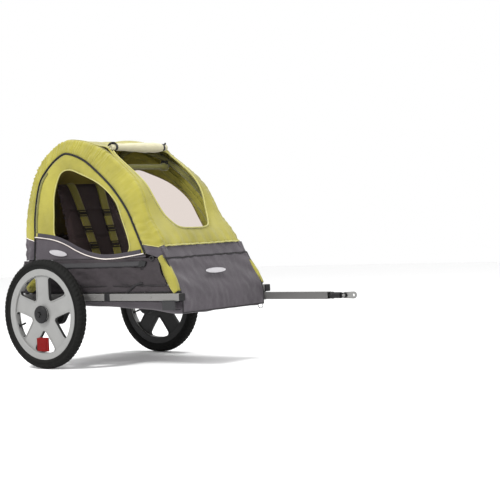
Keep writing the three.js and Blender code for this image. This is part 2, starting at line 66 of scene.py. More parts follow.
OUTLINE = [
    (-181, 392), (-187, 475), (-187, 560), (-171, 656), (-139, 738), (-77, 798), (-5, 832), (60, 830),
    (122, 815), (206, 782), (307, 711), (361, 663), (393, 617), (430, 537), (485, 463), (521, 392),
]
ZIP = [
    (-126, 393), (-128, 473), (-133, 547), (-127, 624), (-114, 681), (-90, 716), (-56, 748), (-23, 770),
    (11, 782), (45, 777), (85, 764), (127, 743), (170, 714), (212, 683), (255, 648), (298, 605),
    (340, 555), (372, 503), (405, 447), (428, 407),
]
WINDOW = [
    (-24, 478), (-34, 560), (-36, 635), (-11, 706), (32, 722), (87, 707), (192, 663), (270, 603),
    (308, 538), (354, 423), (287, 399), (221, 399), (154, 411), (95, 430), (34, 455),
]
WAVE = [
    (-127, 477), (-101, 475), (-28, 465), (34, 447), (95, 422), (154, 403), (221, 391), (287, 391),
    (351, 397), (424, 406),
]
HOOP = [
    (-150, 388), (-152, 490), (-146, 580), (-124, 660), (-86, 728), (-30, 778), (30, 800), (95, 794),
    (170, 768), (250, 718), (330, 650), (385, 580), (430, 490), (465, 420), (478, 388),
]
HALF_DOOR = [
    (0, 487), (52, 488), (88, 498), (114, 533), (134, 590), (146, 655), (152, 712), (151, 752),
    (142, 776), (112, 786), (56, 788),
]


# ---- Curves and meshes ----------------------------------------------------------------------------
def spline(points, count, closed=False):
    """Catmull-Rom curve through the points, sampled evenly along its length."""
    points = [Vector(p) for p in points]
    last = len(points) if closed else len(points) - 1

    def control(i):
        return points[i % len(points)] if closed else points[min(max(i, 0), len(points) - 1)]

    fine = []
    for k in range(last):
        p0, p1, p2, p3 = (control(k + j) for j in (-1, 0, 1, 2))
        for step in range(12):
            t = step / 12
            a = (p2 - p0) * 0.5
            b = (p3 - p1) * 0.5
            fine.append(
                p1 * (2 * t**3 - 3 * t**2 + 1) + a * (t**3 - 2 * t**2 + t)
                + p2 * (3 * t**2 - 2 * t**3) + b * (t**3 - t**2)
            )
    fine.append(points[0] if closed else points[-1])
    return resample(fine, count, closed)


def resample(points, count, closed=False):
    lengths = [0.0]
    for a, b in zip(points, points[1:]):
        lengths.append(lengths[-1] + (b - a).length)
    out = []
    for i in range(count):
        want = lengths[-1] * i / (count if closed else count - 1)
        k = min(bisect_right(lengths, want) - 1, len(points) - 2)
        span = lengths[k + 1] - lengths[k]
        out.append(points[k].lerp(points[k + 1], (want - lengths[k]) / span if span else 0))
    return out


def smooth_step(low, high, value):
    t = min(max((value - low) / (high - low), 0), 1)
    return t * t * (3 - 2 * t)


def rough(x, y, size, seed):
    """Smooth noise from -1 to 1, with features of about this size in mm."""
    return noise.noise(Vector((x / size, y / size, seed)))


def mesh_object(name, points, faces, material, smooth=True):
    mesh = bpy.data.meshes.new(name)
    mesh.from_pydata([((x - CENTRE_X) * MM, y * MM, z * MM) for x, y, z in points], [], faces)
    mesh.validate()
    mesh.shade_smooth() if smooth else mesh.shade_flat()
    mesh.materials.append(material)
    obj = bpy.data.objects.new(name, mesh)
    bpy.context.collection.objects.link(obj)
    return obj


def outwards(obj):
    """Makes the faces of a closed mesh point out."""
    shape = bmesh.new()
    shape.from_mesh(obj.data)
    bmesh.ops.remove_doubles(shape, verts=shape.verts, dist=1e-6)
    bmesh.ops.recalc_face_normals(shape, faces=shape.faces)
    shape.to_mesh(obj.data)
    shape.free()
    return obj


def thicken(obj, thickness, offset=0.0):
    solid = obj.modifiers.new("Thickness", "SOLIDIFY")
    solid.thickness = thickness * MM
    solid.offset = offset
    return obj


def rounded(obj, width, segments=2, angle=35):
    bevel = obj.modifiers.new("Rounded edges", "BEVEL")
    bevel.width = width * MM
    bevel.segments = segments
    bevel.limit_method = "ANGLE"
    bevel.angle_limit = math.radians(angle)
    bevel.harden_normals = True
    return obj


def grid(name, rows, material, closed_u=False, closed_v=False):
    """A surface through rows of points, all of one length."""
    points = [tuple(p) for row in rows for p in row]
    n, m = len(rows), len(rows[0])
    faces = []
    for i in range(n if closed_u else n - 1):
        for j in range(m if closed_v else m - 1):
            a, b = i * m + j, i * m + (j + 1) % m
            c, d = ((i + 1) % n) * m + (j + 1) % m, ((i + 1) % n) * m + j
            faces.append((a, b, c, d))
    return mesh_object(name, points, faces, material)


def tube(name, path, radius, material, sides=12, closed=False, flat=1.0, radii=None):
    """A round bar along a path. flat under 1 presses its section across the path's first bend."""
    path = [Vector(p) for p in path]
    n = len(path)
    tangents = []
    for i in range(n):
        before = path[(i - 1) % n] if closed else path[max(i - 1, 0)]
        after = path[(i + 1) % n] if closed else path[min(i + 1, n - 1)]
        tangents.append((after - before).normalized())
    side = tangents[0].orthogonal().normalized()
    rings = []
    for i, tangent in enumerate(tangents):
        side = (side - tangent * side.dot(tangent)).normalized()
        other = tangent.cross(side)
        r = radii[i] if radii else radius
        rings.append([
            path[i] + side * (r * math.cos(a)) + other * (r * flat * math.sin(a))
            for a in (2 * math.pi * k / sides for k in range(sides))
        ])
    obj = grid(name, rings, material, closed_u=closed, closed_v=True)
    if not closed:
        cap_ends(obj, n, sides)
    return outwards(obj)


def cap_ends(obj, n, sides):
    mesh = obj.data
    points = [tuple(v.co) for v in mesh.vertices]
    faces = [tuple(p.vertices) for p in mesh.polygons]
    faces.append(tuple(range(sides)))
    faces.append(tuple(range((n - 1) * sides, n * sides)))
    mesh.clear_geometry()
    mesh.from_pydata(points, [], faces)
    mesh.shade_smooth()


def lathe(name, profile, material, place, segments=96, ripple=None):
    """Turns (radius, along) points about the axis of place(x, y, along). ripple(angle, k) adds to radius."""
    rings = []
    for i in range(segments):
        a = 2 * math.pi * i / segments
        ring = []
        for k, (r, along) in enumerate(profile):
            r += ripple(a, k) if ripple else 0
            ring.append(place(r * math.cos(a), r * math.sin(a), along))
        rings.append(ring)
    return outwards(grid(name, rings, material, closed_u=True, closed_v=True))


def inside(point, polygon):
    x, y = point
    hit = False
    for (x0, y0), (x1, y1) in zip(polygon, polygon[1:] + polygon[:1]):
        if (y0 > y) != (y1 > y) and x < x0 + (y - y0) * (x1 - x0) / (y1 - y0):
            hit = not hit
    return hit


def cut_sheet(name, outer, holes, spacing, place, material):
    """A sheet cut to an outline with holes, drawn flat and then placed point by point."""
    outer = [Vector(p).to_2d() for p in outer]
    holes = [[Vector(p).to_2d() for p in hole] for hole in holes]
    points, edges = [], []
    for loop in [outer, *holes]:
        first = len(points)
        points += loop
        edges += [(first + i, first + (i + 1) % len(loop)) for i in range(len(loop))]
    borders = list(points)
    loops = [[(p.x, p.y) for p in loop] for loop in [outer, *holes]]
    low_u, high_u = min(p.x for p in outer), max(p.x for p in outer)
    low_v, high_v = min(p.y for p in outer), max(p.y for p in outer)
    near = {}
    for p in borders:
        near.setdefault((int(p.x // spacing), int(p.y // spacing)), []).append(p)
    rows = int((high_v - low_v) / (spacing * 0.87)) + 1
    for j in range(1, rows):
        v = low_v + j * spacing * 0.87
        for i in range(int((high_u - low_u) / spacing) + 2):
            u = low_u + (i + 0.5 * (j % 2)) * spacing
            cell = (int(u // spacing), int(v // spacing))
            close = any(
                (q - Vector((u, v))).length < spacing * 0.55
                for di in (-1, 0, 1) for dj in (-1, 0, 1)
                for q in near.get((cell[0] + di, cell[1] + dj), [])
            )
            if not close and inside((u, v), loops[0]) and not any(inside((u, v), h) for h in loops[1:]):
                points.append(Vector((u, v)))
    made, _, faces, *_ = geometry.delaunay_2d_cdt(points, edges, [], 0, 1e-4)
    kept = []
    for face in faces:
        centre = sum((made[i] for i in face), Vector((0, 0))) / len(face)
        if inside(centre, loops[0]) and not any(inside(centre, h) for h in loops[1:]):
            kept.append(tuple(face))
    used = sorted({i for face in kept for i in face})
    order = {old: new for new, old in enumerate(used)}
    return mesh_object(
        name, [place(made[i].x, made[i].y) for i in used],
        [tuple(order[i] for i in face) for face in kept], material,
    )


def area_of(polygon):
    pairs = zip(polygon, polygon[1:] + polygon[:1])
    return abs(sum(a[0] * b[1] - b[0] * a[1] for a, b in pairs)) / 2


def declare_sheet(obj, area=None):
    """Returns the piece as it is. Sizes in mm and mm2; the area argument is not used."""
    return obj


def settle(obj, body, slot, *nodes):
    """Puts a finished piece on its body and hides the CAD nodes it stands for. The slot argument is not used."""
    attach(obj, body)
    if nodes:
        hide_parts(*nodes)
    return obj


# ---- Materials ------------------------------------------------------------------------------------
def new_material(name):
    material = bpy.data.materials.new(name)
    material.use_nodes = True
    material.node_tree.nodes.clear()
    return material


def add(material, kind, inputs=None, **settings):
    """Adds a node. An input given as another node's output is linked to it, and any other is set."""
    made = material.node_tree.nodes.new("ShaderNode" + kind)
    for name, value in settings.items():
        setattr(made, name, value)
    for name, value in (inputs or {}).items():
        if isinstance(value, bpy.types.NodeSocket):
            material.node_tree.links.new(value, made.inputs[name])
        else:
            made.inputs[name].default_value = value
    return made


def tones(material, fac, *stops):
    """A colour ramp from (position, colour) to (position, colour)."""
    ramp = add(material, "ValToRGB", {"Fac": fac})
    for element, (position, colour) in zip(ramp.color_ramp.elements, stops):
        element.position = position
        element.color = (*colour, 1)
    return ramp.outputs["Color"]


def shades(colour, variation):
    return [c * (1 - variation) for c in colour], [min(c * (1 + variation), 1) for c in colour]


def fabric(name, colour, shade=0.16, weave=1700, bump=0.12, roughness=0.8, glow=0.0, sheen=0.25):
    """Woven cloth: a fine two-way weave, slow dirt and fading, and some light through thin cloth."""
    material = new_material(name)
    place = add(material, "TexCoord").outputs["Object"]
    slow = add(material, "TexNoise", {"Vector": place, "Scale": 9, "Detail": 6})
    dark, light = shades(colour, shade)
    fade = tones(material, slow.outputs["Fac"], (0.3, dark), (0.7, light))
    threads = [
        add(material, "TexWave", {
            "Vector": place, "Scale": weave / 6.28, "Distortion": 0.6, "Detail": 1, "Phase Offset": phase,
        }, bands_direction=axis).outputs["Fac"]
        for axis, phase in (("X", 0.0), ("Z", 0.4), ("Y", 0.8))
    ]
    cross = add(material, "Math", {0: threads[0], 1: threads[1]}, operation="MULTIPLY")
    woven = add(material, "Math", {
        0: threads[2], 1: 0.5, 2: cross.outputs["Value"],
    }, operation="MULTIPLY_ADD").outputs["Value"]
    base = add(material, "Mix", data_type="RGBA", blend_type="MULTIPLY")
    base.inputs["Factor"].default_value = 0.07
    material.node_tree.links.new(fade, base.inputs["A"])
    material.node_tree.links.new(woven, base.inputs["B"])
    relief = add(material, "Bump", {"Strength": bump, "Distance": 0.0006, "Height": woven})
    crumple = add(material, "TexNoise", {"Vector": place, "Scale": 55, "Detail": 4})
    soft = add(material, "Bump", {
        "Strength": 0.25, "Distance": 0.002, "Height": crumple.outputs["Fac"],
        "Normal": relief.outputs["Normal"],
    }).outputs["Normal"]
    cloth = add(material, "BsdfPrincipled", {
        "Base Color": base.outputs["Result"], "Roughness": roughness, "Sheen Weight": sheen,
        "Sheen Roughness": 0.5, "Specular IOR Level": 0.25, "Normal": soft,
    })
    surface = cloth.outputs["BSDF"]
    if glow:
        through = add(material, "BsdfTranslucent", {"Color": base.outputs["Result"], "Normal": soft})
        mix = add(material, "MixShader", {"Fac": glow, 1: surface, 2: through.outputs["BSDF"]})
        surface = mix.outputs["Shader"]
    add(material, "OutputMaterial", {"Surface": surface})
    return material


def hard(name, colour, roughness, metallic=0.0, depth=0.1, variation=0.1, stretch=(1, 1, 1), gloss=0.5):
    """Plastic, rubber, paint or metal: mottled roughness, a little colour change and a fine grain."""
    material = new_material(name)
    place = add(material, "TexCoord").outputs["Object"]
    place = add(material, "Mapping", {"Vector": place, "Scale": stretch}).outputs["Vector"]
    mottle = add(material, "TexNoise", {"Vector": place, "Scale": 24, "Detail": 5}).outputs["Fac"]
    dark, light = shades(colour, variation)
    sheen = add(material, "MapRange", {
        "Value": mottle, "To Min": max(roughness - 0.1, 0.03), "To Max": min(roughness + 0.12, 1),
    })
    texture = add(material, "TexNoise", {"Vector": place, "Scale": 1200, "Detail": 3})
    relief = add(material, "Bump", {
        "Strength": depth, "Distance": 0.0004, "Height": texture.outputs["Fac"],
    })
    surface = add(material, "BsdfPrincipled", {
        "Base Color": tones(material, mottle, (0.25, dark), (0.75, light)), "Metallic": metallic,
        "Roughness": sheen.outputs["Result"], "Specular IOR Level": gloss,
        "Normal": relief.outputs["Normal"],
    })
    add(material, "OutputMaterial", {"Surface": surface.outputs["BSDF"]})
    return material


def clear_film(name, tint, share, colour):
    """Thin window sheet: mostly see-through, tinted, with a soft gloss and faint ripples."""
    material = new_material(name)
    place = add(material, "TexCoord").outputs["Object"]
    see = add(material, "BsdfTransparent", {"Color": (*tint, 1)})
    ripple = add(material, "TexNoise", {"Vector": place, "Scale": 14, "Detail": 3}).outputs["Fac"]
    dark, light = [c * 0.8 for c in colour], [c * 1.2 for c in colour]
    relief = add(material, "Bump", {"Strength": 0.3, "Distance": 0.003, "Height": ripple})
    face = add(material, "BsdfPrincipled", {
        "Base Color": tones(material, ripple, (0, dark), (1, light)), "Roughness": 0.3,
        "Specular IOR Level": 0.2, "Normal": relief.outputs["Normal"],
    })
    mix = add(material, "MixShader", {"Fac": share, 1: see.outputs["BSDF"], 2: face.outputs["BSDF"]})
    add(material, "OutputMaterial", {"Surface": mix.outputs["Shader"]})
    return material


LIME = fabric("Lime cloth", (0.235, 0.212, 0.028), shade=0.2, glow=0.08)
LIME_EDGE = fabric("Lime binding", (0.30, 0.28, 0.08), shade=0.08, weave=2600)
# Lime cloth darkened to stand for lime cloth in shade: painted shade, used for the zip flap's shadow and the
# sleeves on the hoops and the crossbar.
LIME_PAINTED_SHADE = fabric("Lime cloth painted shade", (0.10, 0.095, 0.02), weave=2400)
GREY = fabric("Charcoal cloth", (0.043, 0.036, 0.043), bump=0.2, sheen=0.2)
GREY_BAND = fabric("Charcoal band", (0.028, 0.024, 0.03), bump=0.2, sheen=0.1)
# Charcoal cloth darkened for the lower sides: painted shade under the overhang of the folding sides.
GREY_PAINTED_SHADE = fabric("Charcoal cloth painted shade", (0.021, 0.0165, 0.019), bump=0.2, sheen=0.05)
SEAT_CLOTH = fabric("Seat cloth", (0.024, 0.019, 0.023), weave=500, bump=0.02, sheen=0.02)
WEBBING = fabric("Black webbing", (0.018, 0.017, 0.019), weave=2200, bump=0.3, roughness=0.6, sheen=0.05)
OLIVE_WEBBING = fabric("Olive webbing", (0.15, 0.16, 0.02), weave=2200, bump=0.3, roughness=0.6)
PIPING = fabric("Black piping", (0.010, 0.009, 0.010), weave=3200, bump=0.3, roughness=0.7, sheen=0.02)
PALE_PIPING = fabric("Pale piping", (0.52, 0.47, 0.44), weave=3200, bump=0.2)
CREAM = fabric("Cream cloth", (0.46, 0.43, 0.29), shade=0.1, weave=1500, glow=0.1)
FILM = clear_film("Window film", (0.90, 0.85, 0.82), 0.025, (0.02, 0.018, 0.018))
BADGE = hard("Badge silver", (0.34, 0.33, 0.345), 0.35, variation=0.05)
ALUMINIUM = hard("Brushed aluminium", (0.14, 0.137, 0.132), 0.45, metallic=0.35, stretch=(0.15, 1, 1))
ARM_METAL = hard("Arm aluminium", (0.10, 0.098, 0.096), 0.5, metallic=0.4, stretch=(0.15, 1, 1))
STEEL = hard("Black paint", (0.014, 0.014, 0.015), 0.45, gloss=0.3)
ZINC = hard("Zinc plate", (0.20, 0.20, 0.195), 0.4, metallic=0.6)
PLASTIC = hard("Black plastic", (0.007, 0.007, 0.0075), 0.55, depth=0.3, gloss=0.2)
RIM = hard("Silver-grey wheel", (0.19, 0.19, 0.185), 0.45, metallic=0.15, variation=0.06)
# Wheel plastic darkened for the wheel's inner side and the walls of its spoke gaps: painted shade.
RIM_PAINTED_SHADE = hard("Wheel plastic painted shade", (0.022, 0.022, 0.022), 0.6, depth=0.2, gloss=0.2)
RUBBER = hard("Tyre rubber", (0.006, 0.006, 0.0055), 0.8, depth=0.5, variation=0.25, gloss=0.12)
REFLECTOR = hard("Red reflector", (0.13, 0.003, 0.003), 0.4, depth=0.02, gloss=0.1)


# ---- The folding sides ----------------------------------------------------------------------------
def leaning(sign, x, z, n=FABRIC_N):
    """A point of a side given by X and height, n mm outside the plane of its hoop."""
    s = (z - HINGE_Z) / math.cos(LEAN)
    y = HINGE_Y - s * math.sin(LEAN) + n * math.cos(LEAN)
    return Vector((x, sign * y, HINGE_Z + s * math.cos(LEAN) + n * math.sin(LEAN)))


def normals_of(path):
    """Unit normals to the left of a flat path."""
    out = []
    for i in range(len(path)):
        d = path[min(i + 1, len(path) - 1)] - path[max(i - 1, 0)]
        out.append(Vector((-d.y, d.x)).normalized())
    return out


ROWS = 300
EDGE_RADIUS = 12
outline = spline(OUTLINE, ROWS)
zip_line = spline(ZIP, ROWS)
outline_in = [-n for n in normals_of(outline)]
zip_out = normals_of(zip_line)
GREY_CORNER_Z = 472
FRONT_SEAM_Z = 431

FINE = 4  # extra lines across the band between two points of its outline


def between(values, i):
    """A value of a list at a place between two of its items."""
    k = min(int(i), len(values) - 2)
    return values[k].lerp(values[k + 1], i - k)


def gather(i, u):
    """Ruffles across the outer band: sharp near the zip and the roof seam, strongest over the top."""
    x, z = between(outline, i)
    over_top = smooth_step(500, 700, z) * (1 - smooth_step(120, 330, x))
    fine = (0.5 + 2.2 * over_top) * (0.3 + 0.7 * u)
    phase = i * 1.6 + 6 * rough(i * 10, 0, 80, 3) + 2.2 * rough(i * 10, u * 60, 40, 8)
    pleat = (1 - 2 * abs(math.sin(phase / 2)) ** 0.6) * max(0.55 + 1.1 * rough(i * 10, u * 20, 60, 9), 0.1)
    corner = smooth_step(620, 480, z) * smooth_step(200, 340, x)
    broad = (2.6 + 3.4 * corner) * rough(i * 8 + u * 40, u * 70, 34, 5)
    return fine * pleat + broad


def band_row(sign, i):
    """One line across the outer band, from the zip, round the edge, to the roof seam."""
    start = between(zip_line, i)
    outer = between(outline, i)
    edge = outer + between(outline_in, i) * EDGE_RADIUS
    row = []
    flat_steps, arc_steps = 11, 6
    for k in range(flat_steps):
        u = k / flat_steps
        x, z = start.lerp(edge, u)
        puff = 4.5 * math.sin(math.pi * min(u * 1.15, 1)) * smooth_step(0, 60, (edge - start).length)
        n = FABRIC_N + puff + gather(i, u) * (0.4 + 0.6 * math.sin(math.pi * u))
        row.append(leaning(sign, x, z, n))
    top = leaning(sign, *outer)
    inner = leaning(sign, *edge) - top
    across = Vector((0, -sign * EDGE_RADIUS, 0))
    lift = gather(i, 1.0)
    for k in range(arc_steps + 1):
        a = math.pi / 2 * k / arc_steps
        out = -across.normalized() * math.cos(a) - inner.normalized() * math.sin(a)
        row.append(top + inner + across + out * (EDGE_RADIUS + lift))
    row.append(top + across * 1.6)
    row.append(top + across * 1.9)
    return row


def side_sheets(side, sign):
    body = f"side_{side}"
    split = next(i for i, p in enumerate(outline) if p.y > GREY_CORNER_Z)
    rows = [band_row(sign, i / FINE) for i in range((ROWS - 1) * FINE + 1)]
    front = next(i for i in range(ROWS // 2, ROWS) if outline[i].y < FRONT_SEAM_Z + 3)
    band = grid(f"side_band_{side}", rows[split * FINE : front * FINE + 1], LIME)
    corner = grid(f"side_corner_{side}", rows[: split * FINE + 2], GREY)
    toe = grid(f"side_toe_{side}", rows[front * FINE - 1 :], GREY)
    for obj, slot in ((band, "lime_fabric"), (corner, "grey_fabric"), (toe, "grey_fabric")):
        outwards_by(obj, Vector((0, sign, 0)))
        thicken(obj, 0.9, -1)
        settle(obj, body, slot)
    declare_sheet(band)
    declare_sheet(corner)
    declare_sheet(toe)
    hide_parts(f"side_panel_{side}")
    seam = tube(
        f"corner_piping_{side}", [p + Vector((0, sign * 0.8, 0)) for p in rows[split * FINE][:17]],
        1.6, PALE_PIPING, sides=8,
    )
    line_path = [p + Vector((0, sign * 1.2, 0)) for p in rows[front * FINE][:17]]
    toe_seam = tube(f"toe_piping_{side}", line_path, 1.8, LIME_EDGE, sides=8)

    # The panel inside the zip, with the window cut out.
    inner_zip = [p - n * 4 for p, n in zip(zip_line, zip_out)]
    wave = spline(WAVE, 90)
    window = spline(WINDOW, 110, closed=True)
    start = next(i for i, p in enumerate(inner_zip) if p.y > wave[0].y)
    stop = max(i for i, p in enumerate(inner_zip) if p.y > wave[-1].y)
    upper = inner_zip[start : stop + 1 : 2] + list(reversed(wave))
    window_xy = [(p.x, p.y) for p in window]

    def panel_point(x, z):
        gap = min((Vector((x, z)) - p).length for p in window[::3])
        puff = 2.2 * smooth_step(0, 26, gap)
        fold = 1.6 * rough(x, z, 34, 11) + 1.0 * rough(x * 0.4, z, 15, 12)
        return leaning(sign, x, z, FABRIC_N + puff + fold * smooth_step(0, 12, gap))

    panel = cut_sheet(f"side_panel_cloth_{side}", upper, [window], 8, panel_point, LIME)
    thicken(panel, 0.9)
    settle(panel, body, "lime_fabric")
    panel_area = area_of([tuple(p) for p in upper]) - area_of(window_xy)
    declare_sheet(panel)

    lower = list(wave) + [p for p in reversed(inner_zip[stop + 1 :])][:1] + [
        Vector((432, 393)), *(Vector((x, 391)) for x in range(400, -110, -20)), Vector((-122, 392)),
    ]

    def lower_point(x, z):
        fold = 2.0 * rough(x, z, 40, 21) + 1.2 * rough(x * 0.5 + z, z, 16, 22)
        return leaning(sign, x, z, FABRIC_N + 0.5 + fold)

    skirt = cut_sheet(f"side_skirt_{side}", lower, [], 8, lower_point, GREY)
    thicken(skirt, 0.9)
    settle(skirt, body, "grey_fabric")
    declare_sheet(skirt, area=area_of([tuple(p) for p in lower]))

    # Window film, a little larger than its hole and behind it.
    middle = Vector((130, 560))
    pane = [middle + (p - middle) * 1.025 for p in window]

    def film_point(x, z):
        fold = 1.5 * rough(x, z * 0.35, 38, 31) + 0.8 * rough(x, z, 80, 32)
        return leaning(sign, x, z, FABRIC_N - 2.2 + fold * 0.7)

    film = cut_sheet(f"window_film_{side}", pane, [], 12, film_point, FILM)
    settle(film, body, "window_mesh", f"side_window_{side}")
    thicken(film, 0.4)
    declare_sheet(film, area=area_of([tuple(p) for p in pane]))

    def line(name, path, n, radius, material, closed=False, slot="black_webbing"):
        obj = tube(
            f"{name}_{side}", [leaning(sign, p.x, p.y, n) for p in path], radius, material,
            sides=8, closed=closed,
        )
        return settle(obj, body, slot)

    settle(seam, body, "cream_fabric")
    settle(toe_seam, body, "lime_fabric")
    line("window_binding", window, FABRIC_N + 1.6, 2.6, LIME_EDGE, closed=True, slot="lime_fabric")
    line("wave_piping", wave, FABRIC_N + 5.0, 2.0, PALE_PIPING, slot="cream_fabric")
    line("zip_coil", zip_line, FABRIC_N + 4.8, 2.1, PLASTIC)

    def ribbon(name, path, width, n, material, slot, shift=0.0, thickness=1.0):
        normal = normals_of(path)
        rows = []
        for p, d in zip(path, normal):
            across = [p + d * (shift + width * (k / 4 - 0.5)) for k in range(5)]
            rows.append([leaning(sign, q.x, q.y, n) for q in across])
        obj = grid(f"{name}_{side}", rows, material)
        thicken(obj, thickness)
        return settle(obj, body, slot)

    ribbon("zip_tape", zip_line, 7.5, FABRIC_N + 3.6, PIPING, "black_webbing", thickness=1.4)
    ribbon("zip_lining", zip_line, 26, FABRIC_N - 2.5, LIME, "lime_fabric", thickness=0.9)
    # A darker lime strip just inside the zip: painted shadow of the zip flap.
    strip = zip_line[start + 4 : ROWS // 3]
    ribbon("olive_strip", strip, 9, FABRIC_N + 4.4, LIME_PAINTED_SHADE, "lime_fabric", shift=-11, thickness=1.4)
    ribbon("wave_band", wave[2:-2], 15, FABRIC_N + 4.4, GREY_BAND, "grey_fabric", shift=9, thickness=1.6)
    badge(
        f"side_badge_{side}", lambda u, v: leaning(sign, -2 + u, 416 + v - u * 0.14, FABRIC_N + 4), 46, 11,
        body,
    )


def outwards_by(obj, direction):
    """Turns an open sheet so that most of it faces this way."""
    mesh = obj.data
    if sum((p.normal.dot(direction) * p.area for p in mesh.polygons), 0.0) < 0:
        mesh.flip_normals()


def badge(name, place, half_width, half_height, body):
    """A blank oval plate, slightly domed, with a rim."""
    rings = []
    for share, lift in (
        (0.02, 1.3), (0.35, 1.25), (0.7, 1.0), (0.84, 0.8), (0.87, 1.5), (0.96, 1.5), (1.0, 0.4),
    ):
        ring = []
        for k in range(40):
            a = 2 * math.pi * k / 40
            u, v = half_width * share * math.cos(a), half_height * share * math.sin(a)
            base = place(u, v)
            du = place(u + 1, v) - base
            dv = place(u, v + 1) - base
            normal = du.cross(dv).normalized()
            if normal.y > 0 and base.y < 0 or normal.y < 0 and base.y > 100:
                normal = -normal
            ring.append(base + normal * lift)
        rings.append(ring)
    obj = grid(name, rings, BADGE, closed_v=True)
    cap_ends(obj, len(rings), 40)
    outwards(obj)
    rounded(obj, 0.3, 1)
    return settle(obj, body, "aluminium")


def frame_tubes(side, sign):
    hoop = spline(HOOP, 120)
    path = [leaning(sign, p.x, max(p.y, HINGE_Z), 0) for p in hoop]
    settle(tube(f"hoop_tube_{side}", path, TUBE_R, STEEL, sides=20), f"side_{side}", "frame_steel")
    sleeved = path[10:-8]
    radii = [10.2 + 0.9 * rough(k * 9, 0, 30, 13) + 0.5 * math.sin(k * 1.7) for k in range(len(sleeved))]
    # The hoop sleeve is lime cloth drawn in the darker lime: painted shade.
    sleeve = tube(f"hoop_sleeve_{side}", sleeved, 10, LIME_PAINTED_SHADE, sides=20, radii=radii)
    settle(sleeve, f"side_{side}", "lime_fabric")
    top_y, upper_z = HINGE_Y + 3, 366
    knots = [
        (-172, 233, 269), (-172, 220, 340), (-171, 217, 350), (-166, 215, 359), (-158, 214, 364.5), (
            -148, top_y, upper_z,
        ),
        (488, top_y, upper_z), (500, 215, 364), (512, 216, 358), (522, 218.5, 350), (582, 233, 269),
    ]
    path = []
    for a, b in zip(knots, knots[1:]):
        path += [Vector(a).lerp(Vector(b), k / 6) for k in range(6)]
    path.append(Vector(knots[-1]))
    path = [Vector((x, sign * y, z)) for x, y, z in path]
    obj = tube(f"upper_tube_{side}", path, TUBE_R, STEEL, sides=20)
    settle(obj, "frame", "frame_steel", f"upper_frame_{side}")


for side, sign in SIDES.items():
    side_sheets(side, sign)
    frame_tubes(side, sign)


# ---- Roof, rear and front cloth -------------------------------------------------------------------
ROOF_INSET = EDGE_RADIUS + 5


def roof_edge_y(z):
    return abs(leaning(1, 0, z).y) - ROOF_INSET


front_end = next(i for i in range(ROWS // 2, ROWS) if outline[i].y < FRONT_SEAM_Z)
roof_line = outline[: front_end + 1]
roof_out = normals_of(roof_line)
steps = [0.0]
for before, after in zip(roof_line, roof_line[1:]):
    steps.append(steps[-1] + (after - before).length)


def roof_at(t):
    """Point and outward normal of the roof's side profile, t mm along it from the rear foot."""
    k = min(max(bisect_right(steps, t) - 1, 0), len(roof_line) - 2)
    share = (t - steps[k]) / (steps[k + 1] - steps[k])
    return roof_line[k].lerp(roof_line[k + 1], share), roof_out[k].lerp(roof_out[k + 1], share)


def t_of_front(z):
    """Distance along the profile to a height on its front slope."""
    k = next(i for i in range(ROWS // 4, len(roof_line)) if roof_line[i].y <= z and roof_line[i].x > 60)
    return steps[k - 1] + (steps[k] - steps[k - 1]) * (roof_line[k - 1].y - z) / (
        roof_line[k - 1].y - roof_line[k].y
    )


def roof_point(t, y):
    p, out = roof_at(t)
    edge = roof_edge_y(p.y)
    inner = 1 - smooth_step(0.72, 1.0, abs(y) / edge)
    top = smooth_step(640, 780, p.y)
    sag = -7 * top * (1 - (y / edge) ** 2) * (1 - smooth_step(120, 210, p.x))
    front = smooth_step(FRONT_SEAM_Z + 75, FRONT_SEAM_Z + 8, p.y) if p.x > 300 else 0
    ripple = math.sin(y * 0.16 + 2.2 * rough(y, 0, 60, 41))
    gathers = front * 2.6 * ripple * (0.6 + 0.4 * rough(y, p.y, 30, 42))
    hump = 11 * math.exp(-(((p.x - ROLL_X + 14) / 26) ** 2) - ((abs(y) - 158) / 17) ** 2)
    drape = 2.4 * rough(t, y, 70, 43) + 1.3 * rough(t * 0.5, y, 26, 44)
    lift = (sag + drape) * inner + gathers + hump + 1.0
    return Vector((p.x + out.x * lift, y, p.y + 2 + out.y * lift))


def roof_sheets():
    grey_t = next(t for t, p in zip(steps, roof_line) if p.y > GREY_CORNER_Z)
    marks = [i for i in range(0, len(roof_line), 3) if steps[i] > grey_t]
    marks.append(len(roof_line) - 1)
    left = [(steps[i], roof_edge_y(roof_line[i].y)) for i in marks]
    border = left + [(steps[-1], y) for y in range(180, -181, -12)] + [(t, -y) for t, y in reversed(left)]
    border += [(left[0][0], y) for y in range(-180, 181, 12)]
    half = spline([(y, z) for y, z in HALF_DOOR], 60)
    half = [p for p in half if p.x > 2]
    door = [(t_of_front(p.y), p.x) for p in half] + [(t_of_front(p.y), -p.x) for p in reversed(half)]
    roof = cut_sheet("canopy_roof", border, [door], 9, roof_point, LIME)
    outwards_by(roof, Vector((0, 0, 1)))
    thicken(roof, 1.0, -1)
    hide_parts("canopy")
    area = area_of(border) - area_of(door)
    declare_sheet(roof, area=area)
    rear_rows = []
    for i in range(0, marks[0] + 2, 2):
        z = roof_line[i].y
        rear_rows.append([roof_point(steps[i], roof_edge_y(z) * (k / 24 - 1)) for k in range(49)])
    rear = grid("rear_skirt", rear_rows, GREY)
    outwards_by(rear, Vector((-1, 0, 0)))
    thicken(rear, 1.0, -1)
    declare_sheet(rear)
    across = [roof_point(grey_t, roof_edge_y(GREY_CORNER_Z) * (k / 30 - 1)) for k in range(61)]
    seam = tube("rear_piping", [p + Vector((-1.2, 0, 0)) for p in across], 1.6, PALE_PIPING, sides=8)
    rim = [roof_point(t, y) + Vector((1, 0, 1)) for t, y in door]
    binding = tube("door_binding", rim, 3.4, LIME_EDGE, sides=10, closed=True, flat=0.75)
    hem = [roof_point(steps[-1] - 1, roof_edge_y(FRONT_SEAM_Z) * (k / 40 - 1)) for k in range(81)]
    front = tube("front_hem", [p + Vector((1.5, 0, 0.5)) for p in hem], 3.0, LIME_EDGE, sides=10)
    return [roof, rear, seam, binding, front]


